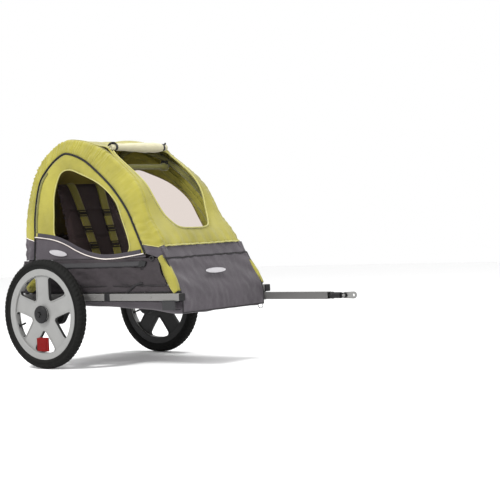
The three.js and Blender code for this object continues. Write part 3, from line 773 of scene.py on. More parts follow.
def rolled_cover():
    """The rain cover, rolled into a spiral of four turns and pulled in where the straps hold it."""
    turns, thickness, stations = 4, 1.6, 90
    rows = []
    for i in range(stations + 1):
        y = -ROLL_HALF + 2 * ROLL_HALF * i / stations
        end = smooth_step(ROLL_HALF, ROLL_HALF - 28, abs(y))
        strap = math.exp(-((abs(y) - 130) / 9) ** 2)
        full = 0.8 + 0.3 * smooth_step(-90, 40, y) - 0.16 * smooth_step(70, 125, y)
        swell = (0.72 + 0.28 * end) * (1 - 0.13 * strap) * full * (1 + 0.06 * rough(y, 0, 34, 53))
        drift = 3.2 * rough(y, 0, 60, 51)
        rows.append([])
        for k in range(97):
            a = 2 * math.pi * turns * k / 96
            radius = (4.5 + (a / (2 * math.pi)) * 3.3) * swell + 0.7 * rough(y, a * 14, 24, 52)
            rows[-1].append(Vector((
                ROLL_X + drift + radius * math.cos(a + 2.4), y,
                ROLL_Z - 4 + 0.5 * drift + radius * 1.02 * math.sin(a + 2.4),
            )))
    roll = grid("rolled_rain_cover", rows, CREAM)
    thicken(roll, thickness * 0.6)
    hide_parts("rolled_cover")
    declare_sheet(roll)
    made = [roll]
    for side, sign in SIDES.items():
        rings = []
        for k in range(49):
            a = 2 * math.pi * k / 48 * 1.02
            r = 12.8 + 0.9 * (k / 48) + 0.4 * math.sin(3 * a)
            centre = Vector((ROLL_X + r * math.cos(a + 1.2), sign * 130, ROLL_Z + r * math.sin(a + 1.2)))
            rings.append([centre + Vector((0, w, -3)) for w in (-5, -2.5, 0, 2.5, 5)])
        strap = grid(f"roll_loop_{side}", rings, WEBBING)
        thicken(strap, 1.6)
        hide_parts(f"roll_strap_{side}")
        tail = [
            Vector((ROLL_X + 10, sign * 132, ROLL_Z + 9)), Vector((ROLL_X + 7, sign * 142, ROLL_Z + 12)),
            Vector((ROLL_X - 2, sign * 151, ROLL_Z + 9)), Vector((ROLL_X - 8, sign * 157, ROLL_Z + 1)),
        ]
        toggle = tube(
            f"roll_toggle_{side}", spline(tail, 22), 3.4, PLASTIC, sides=10, flat=0.8,
            radii=[2.2 + 2.2 * math.sin(math.pi * k / 21) for k in range(22)],
        )
        made += [strap, toggle]
    return made


# The roof and what is rolled up on it go on the frame.
for piece in roof_sheets() + rolled_cover():
    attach(piece, "frame")
    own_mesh(piece)

APRON = [(501, 431), (511, 411), (523, 390)]
FRONT = [(524, 391), (546, 350), (576, 298), (590, 262), (594, 236), (592, 200)]


def front_sheets():
    profile = spline(APRON, 10)
    rows = []
    for j, p in enumerate(profile):
        rows.append([])
        for k in range(81):
            y = 226 * (k / 40 - 1)
            ripple = 1.2 * math.sin(y * 0.11 + 3 * rough(y, 0, 90, 62)) * j / 9
            bulge = 2.0 + 2.2 * rough(y, p.y, 38, 61) + ripple
            rows[-1].append(Vector((p.x + bulge, y, p.y + 1.5 * rough(y, 0, 120, 63))))
    apron = grid("front_apron_cloth", rows, GREY)
    thicken(apron, 1.2)
    settle(apron, "frame", "grey_fabric", "front_apron")
    declare_sheet(apron)
    low = [row for row in rows[-1]]
    # A black line along the apron's lower edge: painted shadow where the apron overlaps the front panel.
    hem = tube("apron_hem", [p + Vector((0.5, 0, -1)) for p in low], 2.4, PIPING, sides=8)
    settle(hem, "frame", "black_webbing")

    profile = spline(FRONT, 48)
    out = [-n for n in normals_of(profile)]
    rows = []
    for j, (p, n) in enumerate(zip(profile, out)):
        rows.append([])
        for k in range(91):
            y = 228 * (k / 45 - 1)
            edge = smooth_step(1.0, 0.9, abs(y) / 228) * smooth_step(0, 4, j) * smooth_step(47, 44, j)
            crown = 3.5 * (1 - (y / 228) ** 2) * math.sin(math.pi * j / 47)
            slack = 3.2 * rough(y * 0.5, p.y, 46, 64) + 1.8 * rough(y, p.y * 0.7, 20, 65)
            side_pull = 2.4 * math.sin(p.y * 0.09 + y * 0.02) * smooth_step(0.5, 0.95, abs(y) / 228)
            lift = (crown + slack + side_pull) * edge
            rows[-1].append(Vector((p.x + n.x * lift, y, p.y + n.y * lift)))
    panel = grid("front_panel_cloth", rows, GREY)
    thicken(panel, 1.2)
    settle(panel, "frame", "grey_fabric", "front_panel")
    declare_sheet(panel)
    pieces = [panel]
    for name, path in (
        ("right", [r[0] for r in rows]), ("left", [r[-1] for r in rows]), ("low", rows[-1]), (
            "high", rows[0],
        ),
    ):
        edge = tube(f"front_binding_{name}", path, 2.3, PIPING, sides=8)
        pieces.append(settle(edge, "frame", "black_webbing"))
    slope = (Vector(FRONT[2]) - Vector(FRONT[1])).normalized()

    def on_panel(u, v):
        z = 333 + v * abs(slope.y)
        k = min(range(48), key=lambda i: abs(profile[i].y - 333))
        p = profile[k]
        return Vector((p.x + 8.5 - (z - p.y) * 0.577, u - 6, z + 3))

    badge("front_badge", on_panel, 56, 10.5, "frame")
    for piece in pieces:
        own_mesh(piece)


def rear_panel():
    rows = []
    for j in range(15):
        z = 270 + 118 * j / 14
        rows.append([])
        for k in range(69):
            y = 226 * (k / 34 - 1)
            fold = 2.6 * rough(y, z * 0.6, 44, 71) + 1.2 * rough(y * 0.5, z, 18, 72)
            rows[-1].append(Vector((-184 - 2 * math.sin(math.pi * j / 14) + fold, y, z)))
    panel = grid("rear_panel_cloth", rows, GREY)
    thicken(panel, 1.2)
    settle(panel, "frame", "grey_fabric", "rear_panel")
    declare_sheet(panel)
    for name, z in (("seam", 330), ("hem", 272)):
        row = rows[min(range(15), key=lambda j: abs(rows[j][0].z - z))]
        line = tube(f"rear_{name}", [p + Vector((-1, 0, 0)) for p in row], 1.8, PIPING, sides=8)
        settle(line, "frame", "black_webbing")


def side_y(z):
    """How far out the lower side cloth lies: under the folding side at its top, over the rail below."""
    return 246 - 15 * smooth_step(345, 392, z)


LOWER_SIDE = [(-181, 272), (-181, 392), (486, 392), (500, 374), (556, 272)]
SEAM_Z = 297


def lower_side(side, sign):
    dense = []
    for a, b in zip(LOWER_SIDE, LOWER_SIDE[1:] + LOWER_SIDE[:1]):
        a, b = Vector(a), Vector(b)
        count = max(int((b - a).length / 10), 1)
        dense += [a.lerp(b, k / count) for k in range(count)]

    def cloth_point(x, z):
        edge = smooth_step(270, 280, z) * smooth_step(-181, -170, x) * smooth_step(393, 380, z)
        pull = 6.5 * rough(x * 0.5 + z * 0.9, z * 0.5, 30, 81 + sign) + 3.6 * rough(x, z * 1.6, 24, 83 + sign)
        seam = -2.0 * math.exp(-((z - SEAM_Z) / 4) ** 2)
        return Vector((x, sign * (side_y(z) + (pull + seam) * edge), z))

    # The lower side cloth is drawn darker than the other charcoal cloth: painted shade under the folding side's
    # overhang.
    cloth = cut_sheet(f"lower_side_cloth_{side}", dense, [], 7, cloth_point, GREY_PAINTED_SHADE)
    thicken(cloth, 1.2)
    settle(cloth, "frame", "grey_fabric", f"lower_side_{side}")
    declare_sheet(cloth, area=area_of(LOWER_SIDE))

    def ribbon(name, points, width, material, slot, lift=2.2, thickness=1.6):
        path = spline(points, 60)
        normal = normals_of(path)
        rows = []
        for p, d in zip(path, normal):
            row = [p + d * (width * (k / 4 - 0.5)) for k in range(5)]
            rows.append([Vector((q.x, sign * (side_y(q.y) + lift), q.y)) for q in row])
        obj = grid(f"{name}_{side}", rows, material)
        thicken(obj, thickness)
        return settle(obj, "frame", slot)

    ribbon(
        "side_webbing", [(-178, 372), (100, 371), (300, 372), (440, 374)], 17, WEBBING, "black_webbing",
        4.4,
    )
    ribbon(
        "side_seam", [(-178, SEAM_Z), (200, SEAM_Z - 1), (538, SEAM_Z)], 2.6, PIPING, "black_webbing", 1.6,
        1.2,
    )
    ribbon(
        "pocket_edge", [(352, 268 + 4), (372, 285), (398, 300), (430, 306)], 6, PIPING, "black_webbing",
        3.6,
    )
    ribbon("side_hem", [(-178, 274), (200, 273), (550, 274)], 5, PIPING, "black_webbing", 0.6)

    # Loose lime flap low on the side, behind the wheel.
    middle = Vector((-122, 312))
    flap = [
        middle + Vector((44 * math.cos(a), 33 * math.sin(a))) * (1 + 0.16 * math.sin(3 * a + 1))
        for a in (2 * math.pi * k / 40 for k in range(40))
    ]

    def flap_point(x, z):
        near = smooth_step(46, 20, (Vector((x, z)) - middle).length)
        crumple = 7 * abs(rough(x, z, 17, 87)) + 3 * rough(x * 1.5, z, 8, 88)
        return Vector((x, sign * (side_y(z) + 4.5 + crumple * near), z))

    loose = cut_sheet(f"lime_flap_{side}", flap, [], 4, flap_point, LIME)
    thicken(loose, 1.0)
    settle(loose, "frame", "lime_fabric")
    declare_sheet(loose, area=0.76 * 92 * 72)

    # Side-release buckle on the webbing: its two bodies.
    for name, x0, x1, half in (("female", 412, 431, 12), ("male", 429, 443, 10)):
        outline_xz = [(x0, 373 - half), (x1, 373 - half + 1.5), (x1, 373 + half - 1.5), (x0, 373 + half)]
        points = [(x, sign * (side_y(z) + d), z) for d in (3, 10) for x, z in outline_xz]
        faces = [(0, 1, 2, 3), (7, 6, 5, 4)] + [(k, (k + 1) % 4, (k + 1) % 4 + 4, k + 4) for k in range(4)]
        buckle = outwards(mesh_object(f"buckle_{name}_{side}", points, faces, PLASTIC))
        rounded(buckle, 2.2, 3)
        settle(buckle, "frame", "black_plastic")
    ring = [
        Vector((466 + 8 * math.cos(a) * (1.25 if math.sin(a) > 0 else 1), sign * 237, 391 + 7 * math.sin(a)))
        for a in (2 * math.pi * k / 28 for k in range(28))
    ]
    settle(tube(f"corner_ring_{side}", ring, 1.7, STEEL, sides=10, closed=True), "frame", "frame_steel")

    # Cloth sleeve round the sloped front post.
    post_low, post_high = Vector((577, sign * 233, 272)), Vector((498, sign * 220, 396))
    along = (post_high - post_low).normalized()
    across = Vector((-along.z, 0, along.x)).normalized()
    rows = []
    for j in range(31):
        u = j / 30
        centre = post_low.lerp(post_high, u) + Vector((0, sign * 2.5, 0))
        rows.append([])
        for k in range(40):
            a = 2 * math.pi * k / 40
            c, s = math.cos(a), math.sin(a)
            power = 0.55
            wide = 11.5 + 8 * math.sin(math.pi * min(u * 1.2, 1)) + 1.6 * rough(a * 9, u * 110, 20, 85)
            deep = 10.2 + 1.2 * rough(a * 9, u * 110, 16, 86)
            offset = across * (wide * math.copysign(abs(c) ** power, c)) + Vector(
                (0, deep * math.copysign(abs(s) ** power, s), 0)
            )
            rows[-1].append(centre + offset)
    sleeve = grid(f"post_sleeve_{side}", rows, LIME, closed_v=True)
    thicken(sleeve, 1.2)
    settle(sleeve, "frame", "lime_fabric")
    declare_sheet(sleeve)


def belly():
    """The footwell cloth, a shallow tub that hangs from the floor's edge."""
    keel = [
        (-176, 232), (-166, 226), (0, 223), (151, 221), (324, 213), (442, 207), (508, 196), (575, 193),
        (590, 199),
    ]
    path = spline(keel, 80)
    rows = []
    for p in path:
        rows.append([])
        for k in range(61):
            u = k / 30 - 1
            y = 227 * math.copysign(1 - (1 - abs(u)) ** 1.25, u)
            wall = smooth_step(0.86, 1.0, abs(u))
            sag = 2.6 * rough(p.x, y, 60, 91) * (1 - wall)
            rows[-1].append(Vector((p.x, y, p.y + 2 + sag + (239.8 - p.y - 2) * wall)))
    cloth = grid("belly_cloth", rows, GREY)
    thicken(cloth, 1.2)
    settle(cloth, "frame", "grey_fabric", "belly")
    declare_sheet(cloth)
    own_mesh(cloth)
    rows = []
    for i in range(61):
        x = -172 + 760 * i / 60
        rows.append([])
        for k in range(41):
            y = 226 * (k / 20 - 1)
            rows[-1].append(Vector((x, y, 241.9 + 0.9 * rough(x, y, 80, 95))))
    floor = grid("floor_cloth", rows, SEAT_CLOTH)
    thicken(floor, 1.2)
    settle(floor, "frame", "seat_fabric", "floor")
    declare_sheet(floor)


front_sheets()
rear_panel()
belly()
for side, sign in SIDES.items():
    lower_side(side, sign)


# ---- Seat and harness -----------------------------------------------------------------------------
def on_seat(y, s, n):
    """A point of the seat back: across, up its slope, and n mm in front of it."""
    c, si = math.cos(SEAT_LEAN), math.sin(SEAT_LEAN)
    return Vector((SEAT_X - s * si + n * c, y, SEAT_Z + s * c + n * si))


def pad(name, half_width, length, place, thickness, channels, bottom):
    """A stuffed panel: a closed form that cloth simulation swells between its sewn channels."""
    nu, nv = 56, 56
    top_rows, low_rows = [], []
    for i in range(nv + 1):
        v = i / nv
        width = half_width(v)
        for rows, sign in ((top_rows, 1), (low_rows, -1)):
            rows.append([])
            for k in range(nu + 1):
                u = k / nu * 2 - 1
                rim = min(1 - abs(u), v, 1 - v) * 9
                crown = min(math.sqrt(max(rim, 0)), 1)
                height = thickness * 0.5 + sign * thickness * 0.5 * crown * (1 if sign > 0 else bottom)
                rows[-1].append(place(u * width, v * length, height * 0.86 + thickness * 0.04))
    points = [p for row in top_rows for p in row] + [p for row in low_rows for p in row]
    n = nu + 1
    shift = len(points) // 2
    faces = []
    for i in range(nv):
        for k in range(nu):
            a = i * n + k
            faces.append((a, a + 1, a + n + 1, a + n))
            faces.append((shift + a + n, shift + a + n + 1, shift + a + 1, shift + a))
    obj = outwards(mesh_object(name, points, faces, SEAT_CLOTH))
    swell(obj, 9)
    press_channels(obj, channels, place, length)
    smooth = obj.modifiers.new("Smooth", "SUBSURF")
    smooth.levels = smooth.render_levels = 1
    return obj


def swell(obj, cap):
    """Remeshes a closed pad, inflates it with cloth under pressure, and caps how far points move."""
    scene = bpy.context.scene
    remesh = obj.modifiers.new("Remesh", "REMESH")
    remesh.mode = "VOXEL"
    remesh.voxel_size = 0.006
    remesh.use_smooth_shade = True
    bake(obj)
    rest = [v.co.copy() for v in obj.data.vertices]
    cloth = obj.modifiers.new("Cloth", "CLOTH")
    settings = cloth.settings
    settings.quality = 4
    settings.use_pressure = True
    settings.uniform_pressure_force = 4
    settings.tension_stiffness = settings.compression_stiffness = 20
    settings.effector_weights.gravity = 0
    for frame_number in range(1, 21):
        scene.frame_set(frame_number)
    bake(obj)
    scene.frame_set(1)
    for vertex, start in zip(obj.data.vertices, rest):
        move = vertex.co - start
        if move.length > cap * MM:
            vertex.co = start + move.normalized() * cap * MM
    obj.data.shade_smooth()


def bake(obj):
    """Replaces the mesh by what its modifiers make of it, and removes them."""
    made = obj.evaluated_get(bpy.context.evaluated_depsgraph_get())
    mesh = bpy.data.meshes.new_from_object(made)
    obj.modifiers.clear()
    obj.data = mesh


def press_channels(obj, channels, place, length):
    """Sews channels into the front of a pad. Each is a share of its height."""
    origin = place(0, 0, 0)
    up = (place(0, 1, 0) - origin).normalized()
    out = (place(0, 0, 1) - origin).normalized()
    start = Vector(((origin.x - CENTRE_X) * MM, origin.y * MM, origin.z * MM))
    for vertex in obj.data.vertices:
        away = vertex.co - start
        s, n = away.dot(up) / MM, away.dot(out) / MM
        for channel in channels:
            depth = math.exp(-((s - channel * length) / 5.0) ** 2)
            if n > 4:
                vertex.co -= out * (depth * min(n - 3, 6) * 0.75 * MM)


def seat():
    def back_width(v):
        return (198 - 50 * v) * (1 - 0.12 * smooth_step(0.9, 1.0, v))

    back = pad(
        "seat_back_pad", back_width, 416, lambda y, s, n: on_seat(y, s, n - 13), 11,
        (0.16, 0.42, 0.7), 0.6,
    )
    base = pad(
        "seat_base_pad", lambda v: 197, 250, lambda y, s, n: Vector((60 + s, y, 286 + n)), 13, (0.5,), 0.6,
    )
    flat = [back]
    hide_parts("seat_back")
    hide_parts("seat_base")
    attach(base, "frame")

    def belt(name, points, width, material, node, thickness=2.2):
        path = spline([Vector(p) for p in points], 60)
        rows = []
        for i, p in enumerate(path):
            along = (path[min(i + 1, 59)] - path[max(i - 1, 0)]).normalized()
            face = Vector((math.cos(SEAT_LEAN), 0, math.sin(SEAT_LEAN)))
            if abs(along.x) > 0.9:
                face = Vector((0, 0, 1))
            across = along.cross(face).normalized()
            rows.append([p + across * (width * (k / 6 - 0.5)) for k in range(7)])
        obj = grid(name, rows, material)
        thicken(obj, thickness)
        if node:
            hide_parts(node)
        return obj

    for side, sign in SIDES.items():
        points = [
            on_seat(sign * 54, 60, 9), on_seat(sign * 58, 120, 12), on_seat(sign * 63, 222, 12),
            on_seat(sign * 68, 300, 12), on_seat(sign * 74, 372, 11), on_seat(sign * 76, 398, 3),
        ]
        flat.append(belt(
            f"shoulder_belt_{side}", points, 38, OLIVE_WEBBING,
            f"shoulder_strap_{side}", 3.4,
        ))
        for k, s in enumerate((140, 205, 270)):
            y = sign * (59 + (s - 120) * 0.05)
            plate = [(-24, -13), (24, -13), (24, 13), (-24, 13)]
            slots = [
                [Vector((x * 19, z0 + z)) for x, z in ((-1, 0), (1, 0), (1, 4), (-1, 4))]
                for z0 in (-9, 5)
            ]
            lock = cut_sheet(
                f"strap_lock_{k}_{side}", [Vector(p) for p in plate], slots, 4,
                lambda u, v: on_seat(y + u, s + v, 15), PLASTIC,
            )
            thicken(lock, 4)
            rounded(lock, 1.2, 2)
            if k == 1:
                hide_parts(f"strap_adjuster_{side}")
            flat.append(lock)
        points = [on_seat(sign * y, 36 + y / 90, n) for y, n in ((26, 11), (80, 9), (150, 8), (188, 3))]
        flat.append(belt(f"hip_belt_{side}", points, 30, WEBBING, f"lap_belt_{side}"))
    points = [
        on_seat(0, 28, 9), Vector((70, 0, 304)), Vector((92, 0, 303)), Vector((112, 0, 303)),
        Vector((134, 0, 300)),
    ]
    flat.append(belt("crotch_belt", points, 36, WEBBING, "crotch_strap"))
    for piece in flat:
        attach(piece, "frame")
        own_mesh(piece)


seat()


# ---- Wheels ---------------------------------------------------------------------------------------
def wheel_place(sign):
    """Wheel coordinates: u forward, v up, a outward from the wheel's middle plane."""
    return lambda u, v, a: Vector((u, sign * (HALF_TRACK + a), WHEEL_R + v))


def tread_ripple(profile_low, profile_high):
    """Blocks and grooves of the tread, as a change of radius."""
    def change(angle, k):
        if not profile_low <= k <= profile_high:
            return 0
        half = (profile_low + profile_high) / 2
        lane = (k - half) / (profile_high - half)
        row = math.sin(angle * 72 + (2.2 if lane > 0 else 0) + 4 * abs(lane))
        groove = -2.4 * (1 - smooth_step(-0.75, -0.35, row))
        centre = -2.2 if abs(abs(lane) - 0.36) < 0.06 else 0
        return min(groove * smooth_step(0.12, 0.2, abs(lane)), centre)

    return change


def paint_wheel_shade(obj, in_shade, sign):
    """Gives the chosen faces the darker wheel plastic: painted shade on the wheel's inner side."""
    obj.data.materials.append(RIM_PAINTED_SHADE)
    for face in obj.data.polygons:
        c = face.center / MM
        if in_shade(c.x + CENTRE_X, c.z - WHEEL_R, sign * c.y - HALF_TRACK):
            face.material_index = 1


def wheel(side, sign):
    place = wheel_place(sign)
    body = f"wheel_{side}"
    half = 22
    profile = [(164, -13), (168, -17), (174, -20.6)]
    profile += [(180 + 4 * k / 3, -21.8 + 0.2 * k) for k in range(3)]
    crown = [(-20.6 + 41.2 * k / 28) for k in range(29)]
    low = len(profile)
    profile += [(199.6 - 11 * (abs(a) / half) ** 3.2, a) for a in crown]
    high = len(profile) - 1
    profile += [(188 - 4 * k / 3, 21.4 - 0.2 * (2 - k) + 0.2) for k in range(3)]
    profile += [(174, 20.6), (168, 17), (164, 13)]
    tyre = lathe(
        f"tyre_rubber_{side}", profile, RUBBER, place, segments=432, ripple=tread_ripple(low, high),
    )
    settle(tyre, body, "tyre_rubber", f"tyre_{side}")
    for k, r in enumerate((176.5, 182.0)):
        ring = [
            place(r * math.cos(a), r * math.sin(a), 21.6)
            for a in (2 * math.pi * i / 120 for i in range(120))
        ]
        settle(tube(f"tyre_bead_{k}_{side}", ring, 0.9, RUBBER, sides=6, closed=True), body, "tyre_rubber")

    band = [
        (141.6, -11), (143, -13.5), (150, -14), (160, -14.6), (163.4, -15.2), (165.6, -15.6), (166.2, -14),
        (163.4, -12.5), (158, -8), (157, 0), (158, 8), (163.4, 12.5), (166.2, 14), (165.6, 15.6), (
            163.4, 15.2,
        ),
        (160, 14.6), (150, 14), (143, 13.5), (141.6, 11), (141, 0),
    ]
    rim = lathe(f"rim_band_{side}", band, RIM, place, segments=144)
    rounded(rim, 0.8, 2, 25)
    settle(rim, body, "rim_plastic", f"rim_{side}")
    # The inner side of the rim band in the darker plastic: painted shade.
    paint_wheel_shade(rim, lambda u, v, a: a < -6, sign)
    hub = [(6.7, -28), (28, -28), (30, -26), (30, 14), (28.5, 17.9), (6.7, 17.9)]
    core = lathe(f"wheel_hub_{side}", hub, RIM, place, segments=64)
    # The inner part of the hub in the darker plastic: painted shade.
    paint_wheel_shade(core, lambda u, v, a: a < 3, sign)
    rounded(core, 0.8, 2, 25)
    settle(core, body, "rim_plastic")

    gap_half = [(62, 0), (66, 9), (112, 43), (124, 48.5), (133, 45), (138, 34), (140.5, 17), (141, 0)]
    gap = spline(gap_half, 26)
    gap = gap + [Vector((p.x, -p.y)) for p in reversed(gap[1:-1])]
    holes = []
    for k in range(5):
        a = math.radians(90 + 36 + 72 * k)
        holes.append(
            [Vector((p.x * math.cos(a) - p.y * math.sin(a), p.x * math.sin(a) + p.y * math.cos(a))) for p in gap],
        )
    around = [
        Vector((143 * math.cos(a), 143 * math.sin(a)))
        for a in (2 * math.pi * k / 120 for k in range(120))
    ]
    bore = [Vector((22 * math.cos(a), 22 * math.sin(a))) for a in (2 * math.pi * k / 40 for k in range(40))]

    def spoke_point(u, v):
        r = math.hypot(u, v)
        return place(u, v, 1.5 + 3.0 * smooth_step(70, 30, r))

    web = cut_sheet(f"wheel_spokes_{side}", around, [bore, *holes], 7, spoke_point, RIM)
    outwards_by(web, Vector((0, sign, 0)))
    # The back face and the walls of the spoke gaps get the darker plastic: painted shade.
    web.data.materials.append(RIM_PAINTED_SHADE)
    solid = thicken(web, 11).modifiers["Thickness"]
    solid.material_offset = 1
    solid.material_offset_rim = 1
    rounded(web, 1.6, 2)
    settle(web, body, "rim_plastic")
    for k, hole in enumerate(holes):
        middle = sum(hole, Vector((0, 0))) / len(hole)
        # Ribs on the inner face get the darker plastic: painted shade.
        for face, a, paint in (("out", 7.4, RIM), ("in", -4.6, RIM_PAINTED_SHADE)):
            line = [place(*(middle + (p - middle) * 1.04), a) for p in hole]
            lip = tube(f"spoke_rib_{face}_{k}_{side}", line, 2.2, paint, sides=8, closed=True)
            settle(lip, body, "rim_plastic")

    cap = [(9, 18.4), (32.2, 18.4), (32.6, 21), (31, 24), (25, 27.4), (16, 29.2), (10, 29.4), (9, 28.4)]
    cap_piece = lathe(f"hub_cap_cover_{side}", cap, PLASTIC, place, segments=72)
    settle(rounded(cap_piece, 0.5, 2, 25), body, "black_plastic", f"hub_cap_{side}")
    button = [(0.3, 8), (3, 8), (3, 27), (6.6, 27), (7.2, 28), (7.2, 32.4), (6, 34), (3, 34.8), (0.3, 35)]
    press = lathe(f"release_button_{side}", button, PLASTIC, place, segments=40)
    settle(rounded(press, 0.3, 1, 25), f"release_{side}", "black_plastic", f"hub_button_{side}")

    # Valve in the gap to the left of the top spoke, seen from the right of the trailer.
    angle = math.radians(90 + 108)
    valve = [Vector((math.cos(angle) * r, math.sin(angle) * r)) for r in (141, 132, 124, 118, 108)]
    points = [place(p.x, p.y, 0) for p in valve]
    stem = tube(f"valve_stem_{side}", points[:3], 3.0, RUBBER, sides=12)
    settle(stem, body, "tyre_rubber")
    dust = tube(
        f"valve_cap_{side}", resample(points[2:], 8), 3.6, PLASTIC, sides=12,
        radii=[3.2, 3.9, 3.9, 3.7, 3.7, 3.6, 3.3, 2.6],
    )
    settle(dust, body, "black_plastic")


def reflector():
    """Wheel reflector: a red face of small pyramids in a clip frame."""
    place = wheel_place(-1)
    low, high, half = -134, -86, 24
    cell = 4
    rows = []
    for j in range(2 * int((high - low) / cell) + 1):
        v = low + j * cell / 2
        rows.append([])
        for k in range(2 * int(2 * half / cell) + 1):
            u = -half + k * cell / 2
            rows[-1].append(place(u - 8, v, 16.4 + (1.1 if j % 2 and k % 2 else 0)))
    face = grid("reflector_face", rows, REFLECTOR)
    face.data.shade_flat()
    outwards_by(face, Vector((0, -1, 0)))
    thicken(face, 1.6, -1)
    settle(face, "wheel_right", "reflector_red")
    loop = [
        (-half - 1.5, low - 1.5), (half + 1.5, low - 1.5), (half + 1.5, high + 1.5),
        (-half - 1.5, high + 1.5),
    ]
    points = [place(u, v, a) for a in (9.2, 15.4) for u, v in loop]
    faces = [(0, 1, 2, 3), (7, 6, 5, 4)] + [(k, (k + 1) % 4, (k + 1) % 4 + 4, k + 4) for k in range(4)]
    back = outwards(mesh_object("reflector_back", points, faces, REFLECTOR))
    rounded(back, 2.4, 3)
    settle(back, "wheel_right", "reflector_red", "reflector_right")
    foot = [(-11, -137), (11, -137), (13, low), (-13, low)]
    points = [place(u, v, a) for a in (7.5, 15) for u, v in foot]
    clip = outwards(mesh_object("reflector_clip", points, faces, REFLECTOR))
    rounded(clip, 1.5, 2)
    settle(clip, "wheel_right", "reflector_red")


for side, sign in SIDES.items():
    wheel(side, sign)
reflector()


# ---- Frame details --------------------------------------------------------------------------------
def rail_details(side, sign):
    y = sign * RAIL_Y
    half = BAR / 2
    # Rear plug: the same moulded cap as at the front end.
    section = [(half * 0.98 * math.copysign(abs(math.cos(a)) ** 0.32, math.cos(a)),
                half * 0.98 * math.copysign(abs(math.sin(a)) ** 0.32, math.sin(a)))
               for a in (2 * math.pi * k / 40 for k in range(40))]
    rings = []
    for x, scale in (
        (-182, 0.0), (-182, 0.9), (-181.6, 1.0), (-187, 1.0), (-188.6, 0.93), (-189, 0.5), (-189, 0.02),
    ):
        rings.append([Vector((x, y + u * scale, RAIL_Z + v * scale)) for u, v in section])
    plug = outwards(grid(f"rear_plug_{side}", rings[1:], PLASTIC, closed_v=True))
    settle(plug, "frame", "black_plastic")
    # Clamp band round the rail under the seat.
    rings = []
    for x, scale in ((248, 1.03), (248, 1.13), (249, 1.16), (272, 1.16), (273, 1.13), (273, 1.03)):
        rings.append([Vector((x, y + u * scale, RAIL_Z + v * scale)) for u, v in section])
    clamp = outwards(grid(f"rail_clamp_{side}", rings, PLASTIC, closed_v=True, closed_u=True))
    settle(clamp, "frame", "black_plastic")
    for x in (-120, 40, 200, 330, 470):
        rivet(
            f"rail_rivet_{x}_{side}", Vector((x, sign * (RAIL_Y + half), RAIL_Z)), Vector((0, sign, 0)),
            3.2,
        )
    for x in (-120, 80):
        rivet(
            f"bracket_bolt_{x}_{side}", Vector((x, sign * (RAIL_Y + 11), 232)), Vector((0, sign, 0)), 5.0,
        )


def rivet(name, base, direction, radius):
    """A domed head standing on a face."""
    side = direction.orthogonal().normalized()
    other = direction.cross(side)
    rings = []
    for share, lift in ((1.0, -0.4), (1.0, 0.25), (0.9, 0.5), (0.62, 0.66), (0.3, 0.74), (0.02, 0.76)):
        ring = []
        for k in range(20):
            a = 2 * math.pi * k / 20
            ring.append(
                base + (side * math.cos(a) + other * math.sin(a)) * (radius * share) + direction * radius * lift,
            )
        rings.append(ring)
    obj = grid(name, rings, ALUMINIUM, closed_v=True)
    cap_ends(obj, len(rings), 20)
    return settle(outwards(obj), "frame", "aluminium")


for side, sign in SIDES.items():
    rail_details(side, sign)

bar_path = [Vector((207, 158 * (k / 20 - 1), 725)) for k in range(41)]
crossbar = tube("crossbar_tube", bar_path, TUBE_R, STEEL, sides=24)
rounded(crossbar, 0.8, 2, 50)
settle(crossbar, "crossbar", "frame_steel", "crossbar")
# The crossbar sleeve is lime cloth drawn in the darker lime to match the shaded inside of the roof: painted
# shade.
sleeve_path = [Vector((207, 157 * (k / 30 - 1), 725)) for k in range(61)]
sleeve_radii = [
    9.6 + 6 * smooth_step(24, 27, abs(k - 30)) + 0.7 * rough(k * 7, 3, 25, 14) + 0.3 * math.sin(k * 1.9)
    for k in range(61)
]
crossbar_sleeve = tube("crossbar_sleeve", sleeve_path, 10, LIME_PAINTED_SHADE, sides=20, radii=sleeve_radii)
settle(crossbar_sleeve, "crossbar", "lime_fabric")

KEPT = {
    ALUMINIUM: ["rail_right", "rail_left", "cross_tube_rear", "cross_tube_axle", "cross_tube_front"],
    STEEL: ["hoop_right", "hoop_left", "tow_bracket_right", "tow_bracket_left"],
    ZINC: ["axle_right", "axle_left", "hitch_plate", "retaining_pin"],
    PLASTIC: [
        "rail_plug_right", "rail_plug_left", "axle_bracket_right", "axle_bracket_left", "hinge_rear_right",
        "hinge_rear_left", "hinge_front_right", "hinge_front_left", "harness_buckle", "arm_coupling",
    ],
    ARM_METAL: ["tow_arm"],
}
BEVELS = {
    "rail": 0.5, "cross": 0.5, "axle_bracket": 1.6, "tow_bracket": 0.7, "hitch": 0.7, "strap": 1.2,
    "harness": 2.5,
}
for material, names in KEPT.items():
    for name in names:
        node = bpy.data.objects[name]
        node.data.materials.clear()
        node.data.materials.append(material)
        width = next((w for key, w in BEVELS.items() if name.startswith(key)), 0.5)
        rounded(node, width, 2, 40)
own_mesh(bpy.data.objects["harness_buckle"])


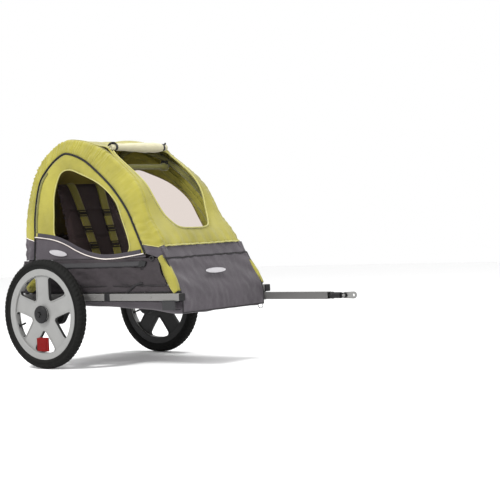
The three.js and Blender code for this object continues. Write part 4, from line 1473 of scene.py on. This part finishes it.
# ---- Stage ----------------------------------------------------------------------------------------
def stage():
    bpy.context.scene.view_settings.view_transform = "Standard"
    world = bpy.data.worlds.new("Studio")
    bpy.context.scene.world = world
    world.use_nodes = True
    sky = world.node_tree.nodes["Background"]
    sky.inputs["Color"].default_value = (1, 1, 1, 1)
    sky.inputs["Strength"].default_value = 1.0
    floor_material = new_material("Studio floor")
    nodes, links = floor_material.node_tree.nodes, floor_material.node_tree.links
    out = nodes.new("ShaderNodeOutputMaterial")
    surface = nodes.new("ShaderNodeBsdfPrincipled")
    surface.inputs["Base Color"].default_value = (0.92, 0.92, 0.92, 1)
    surface.inputs["Roughness"].default_value = 0.8
    links.new(surface.outputs["BSDF"], out.inputs["Surface"])
    mesh = bpy.data.meshes.new("Studio floor")
    mesh.from_pydata([(-8, -8, 0), (8, -8, 0), (8, 8, 0), (-8, 8, 0)], [], [(0, 1, 2, 3)])
    mesh.materials.append(floor_material)
    ground = bpy.data.objects.new("Studio floor", mesh)
    bpy.context.collection.objects.link(ground)
    for name, place, size, power in (
        ("Key", (-0.7, -2.9, 3.1), 0.7, 165), ("Fill", (3.2, -1.2, 1.8), 1.4, 42), (
            "Top", (0.4, 0.8, 3.4), 1.2, 70,
        ),
    ):
        light = bpy.data.lights.new(name, "AREA")
        light.size = size
        light.energy = power
        lamp = bpy.data.objects.new(name, light)
        lamp.location = place
        lamp.rotation_mode = "QUATERNION"
        lamp.rotation_quaternion = (Vector((0, 0, 0.45)) - Vector(place)).to_track_quat("-Z", "Y")
        bpy.context.collection.objects.link(lamp)


def camera():
    azimuth, elevation, roll = math.radians(38), math.radians(1.3), math.radians(-2.65)
    back = Vector((
        math.sin(azimuth) * math.cos(elevation), -math.cos(azimuth) * math.cos(elevation), math.sin(
            elevation,
        ),
    ))
    right = Vector((math.cos(azimuth), math.sin(azimuth), 0))
    up = back.cross(right)
    turned_right = right * math.cos(roll) + up * math.sin(roll)
    turned_up = up * math.cos(roll) - right * math.sin(roll)
    data = bpy.data.cameras.new("Camera")
    data.lens = 104.66
    data.sensor_width = 36
    data.clip_end = 60
    view = bpy.data.objects.new("Camera", data)
    turn = Matrix((turned_right, turned_up, back)).transposed()
    view.matrix_world = Matrix.Translation((3.4628, -4.0208, 0.5195)) @ turn.to_4x4()
    bpy.context.collection.objects.link(view)
    bpy.context.scene.camera = view


stage()
camera()
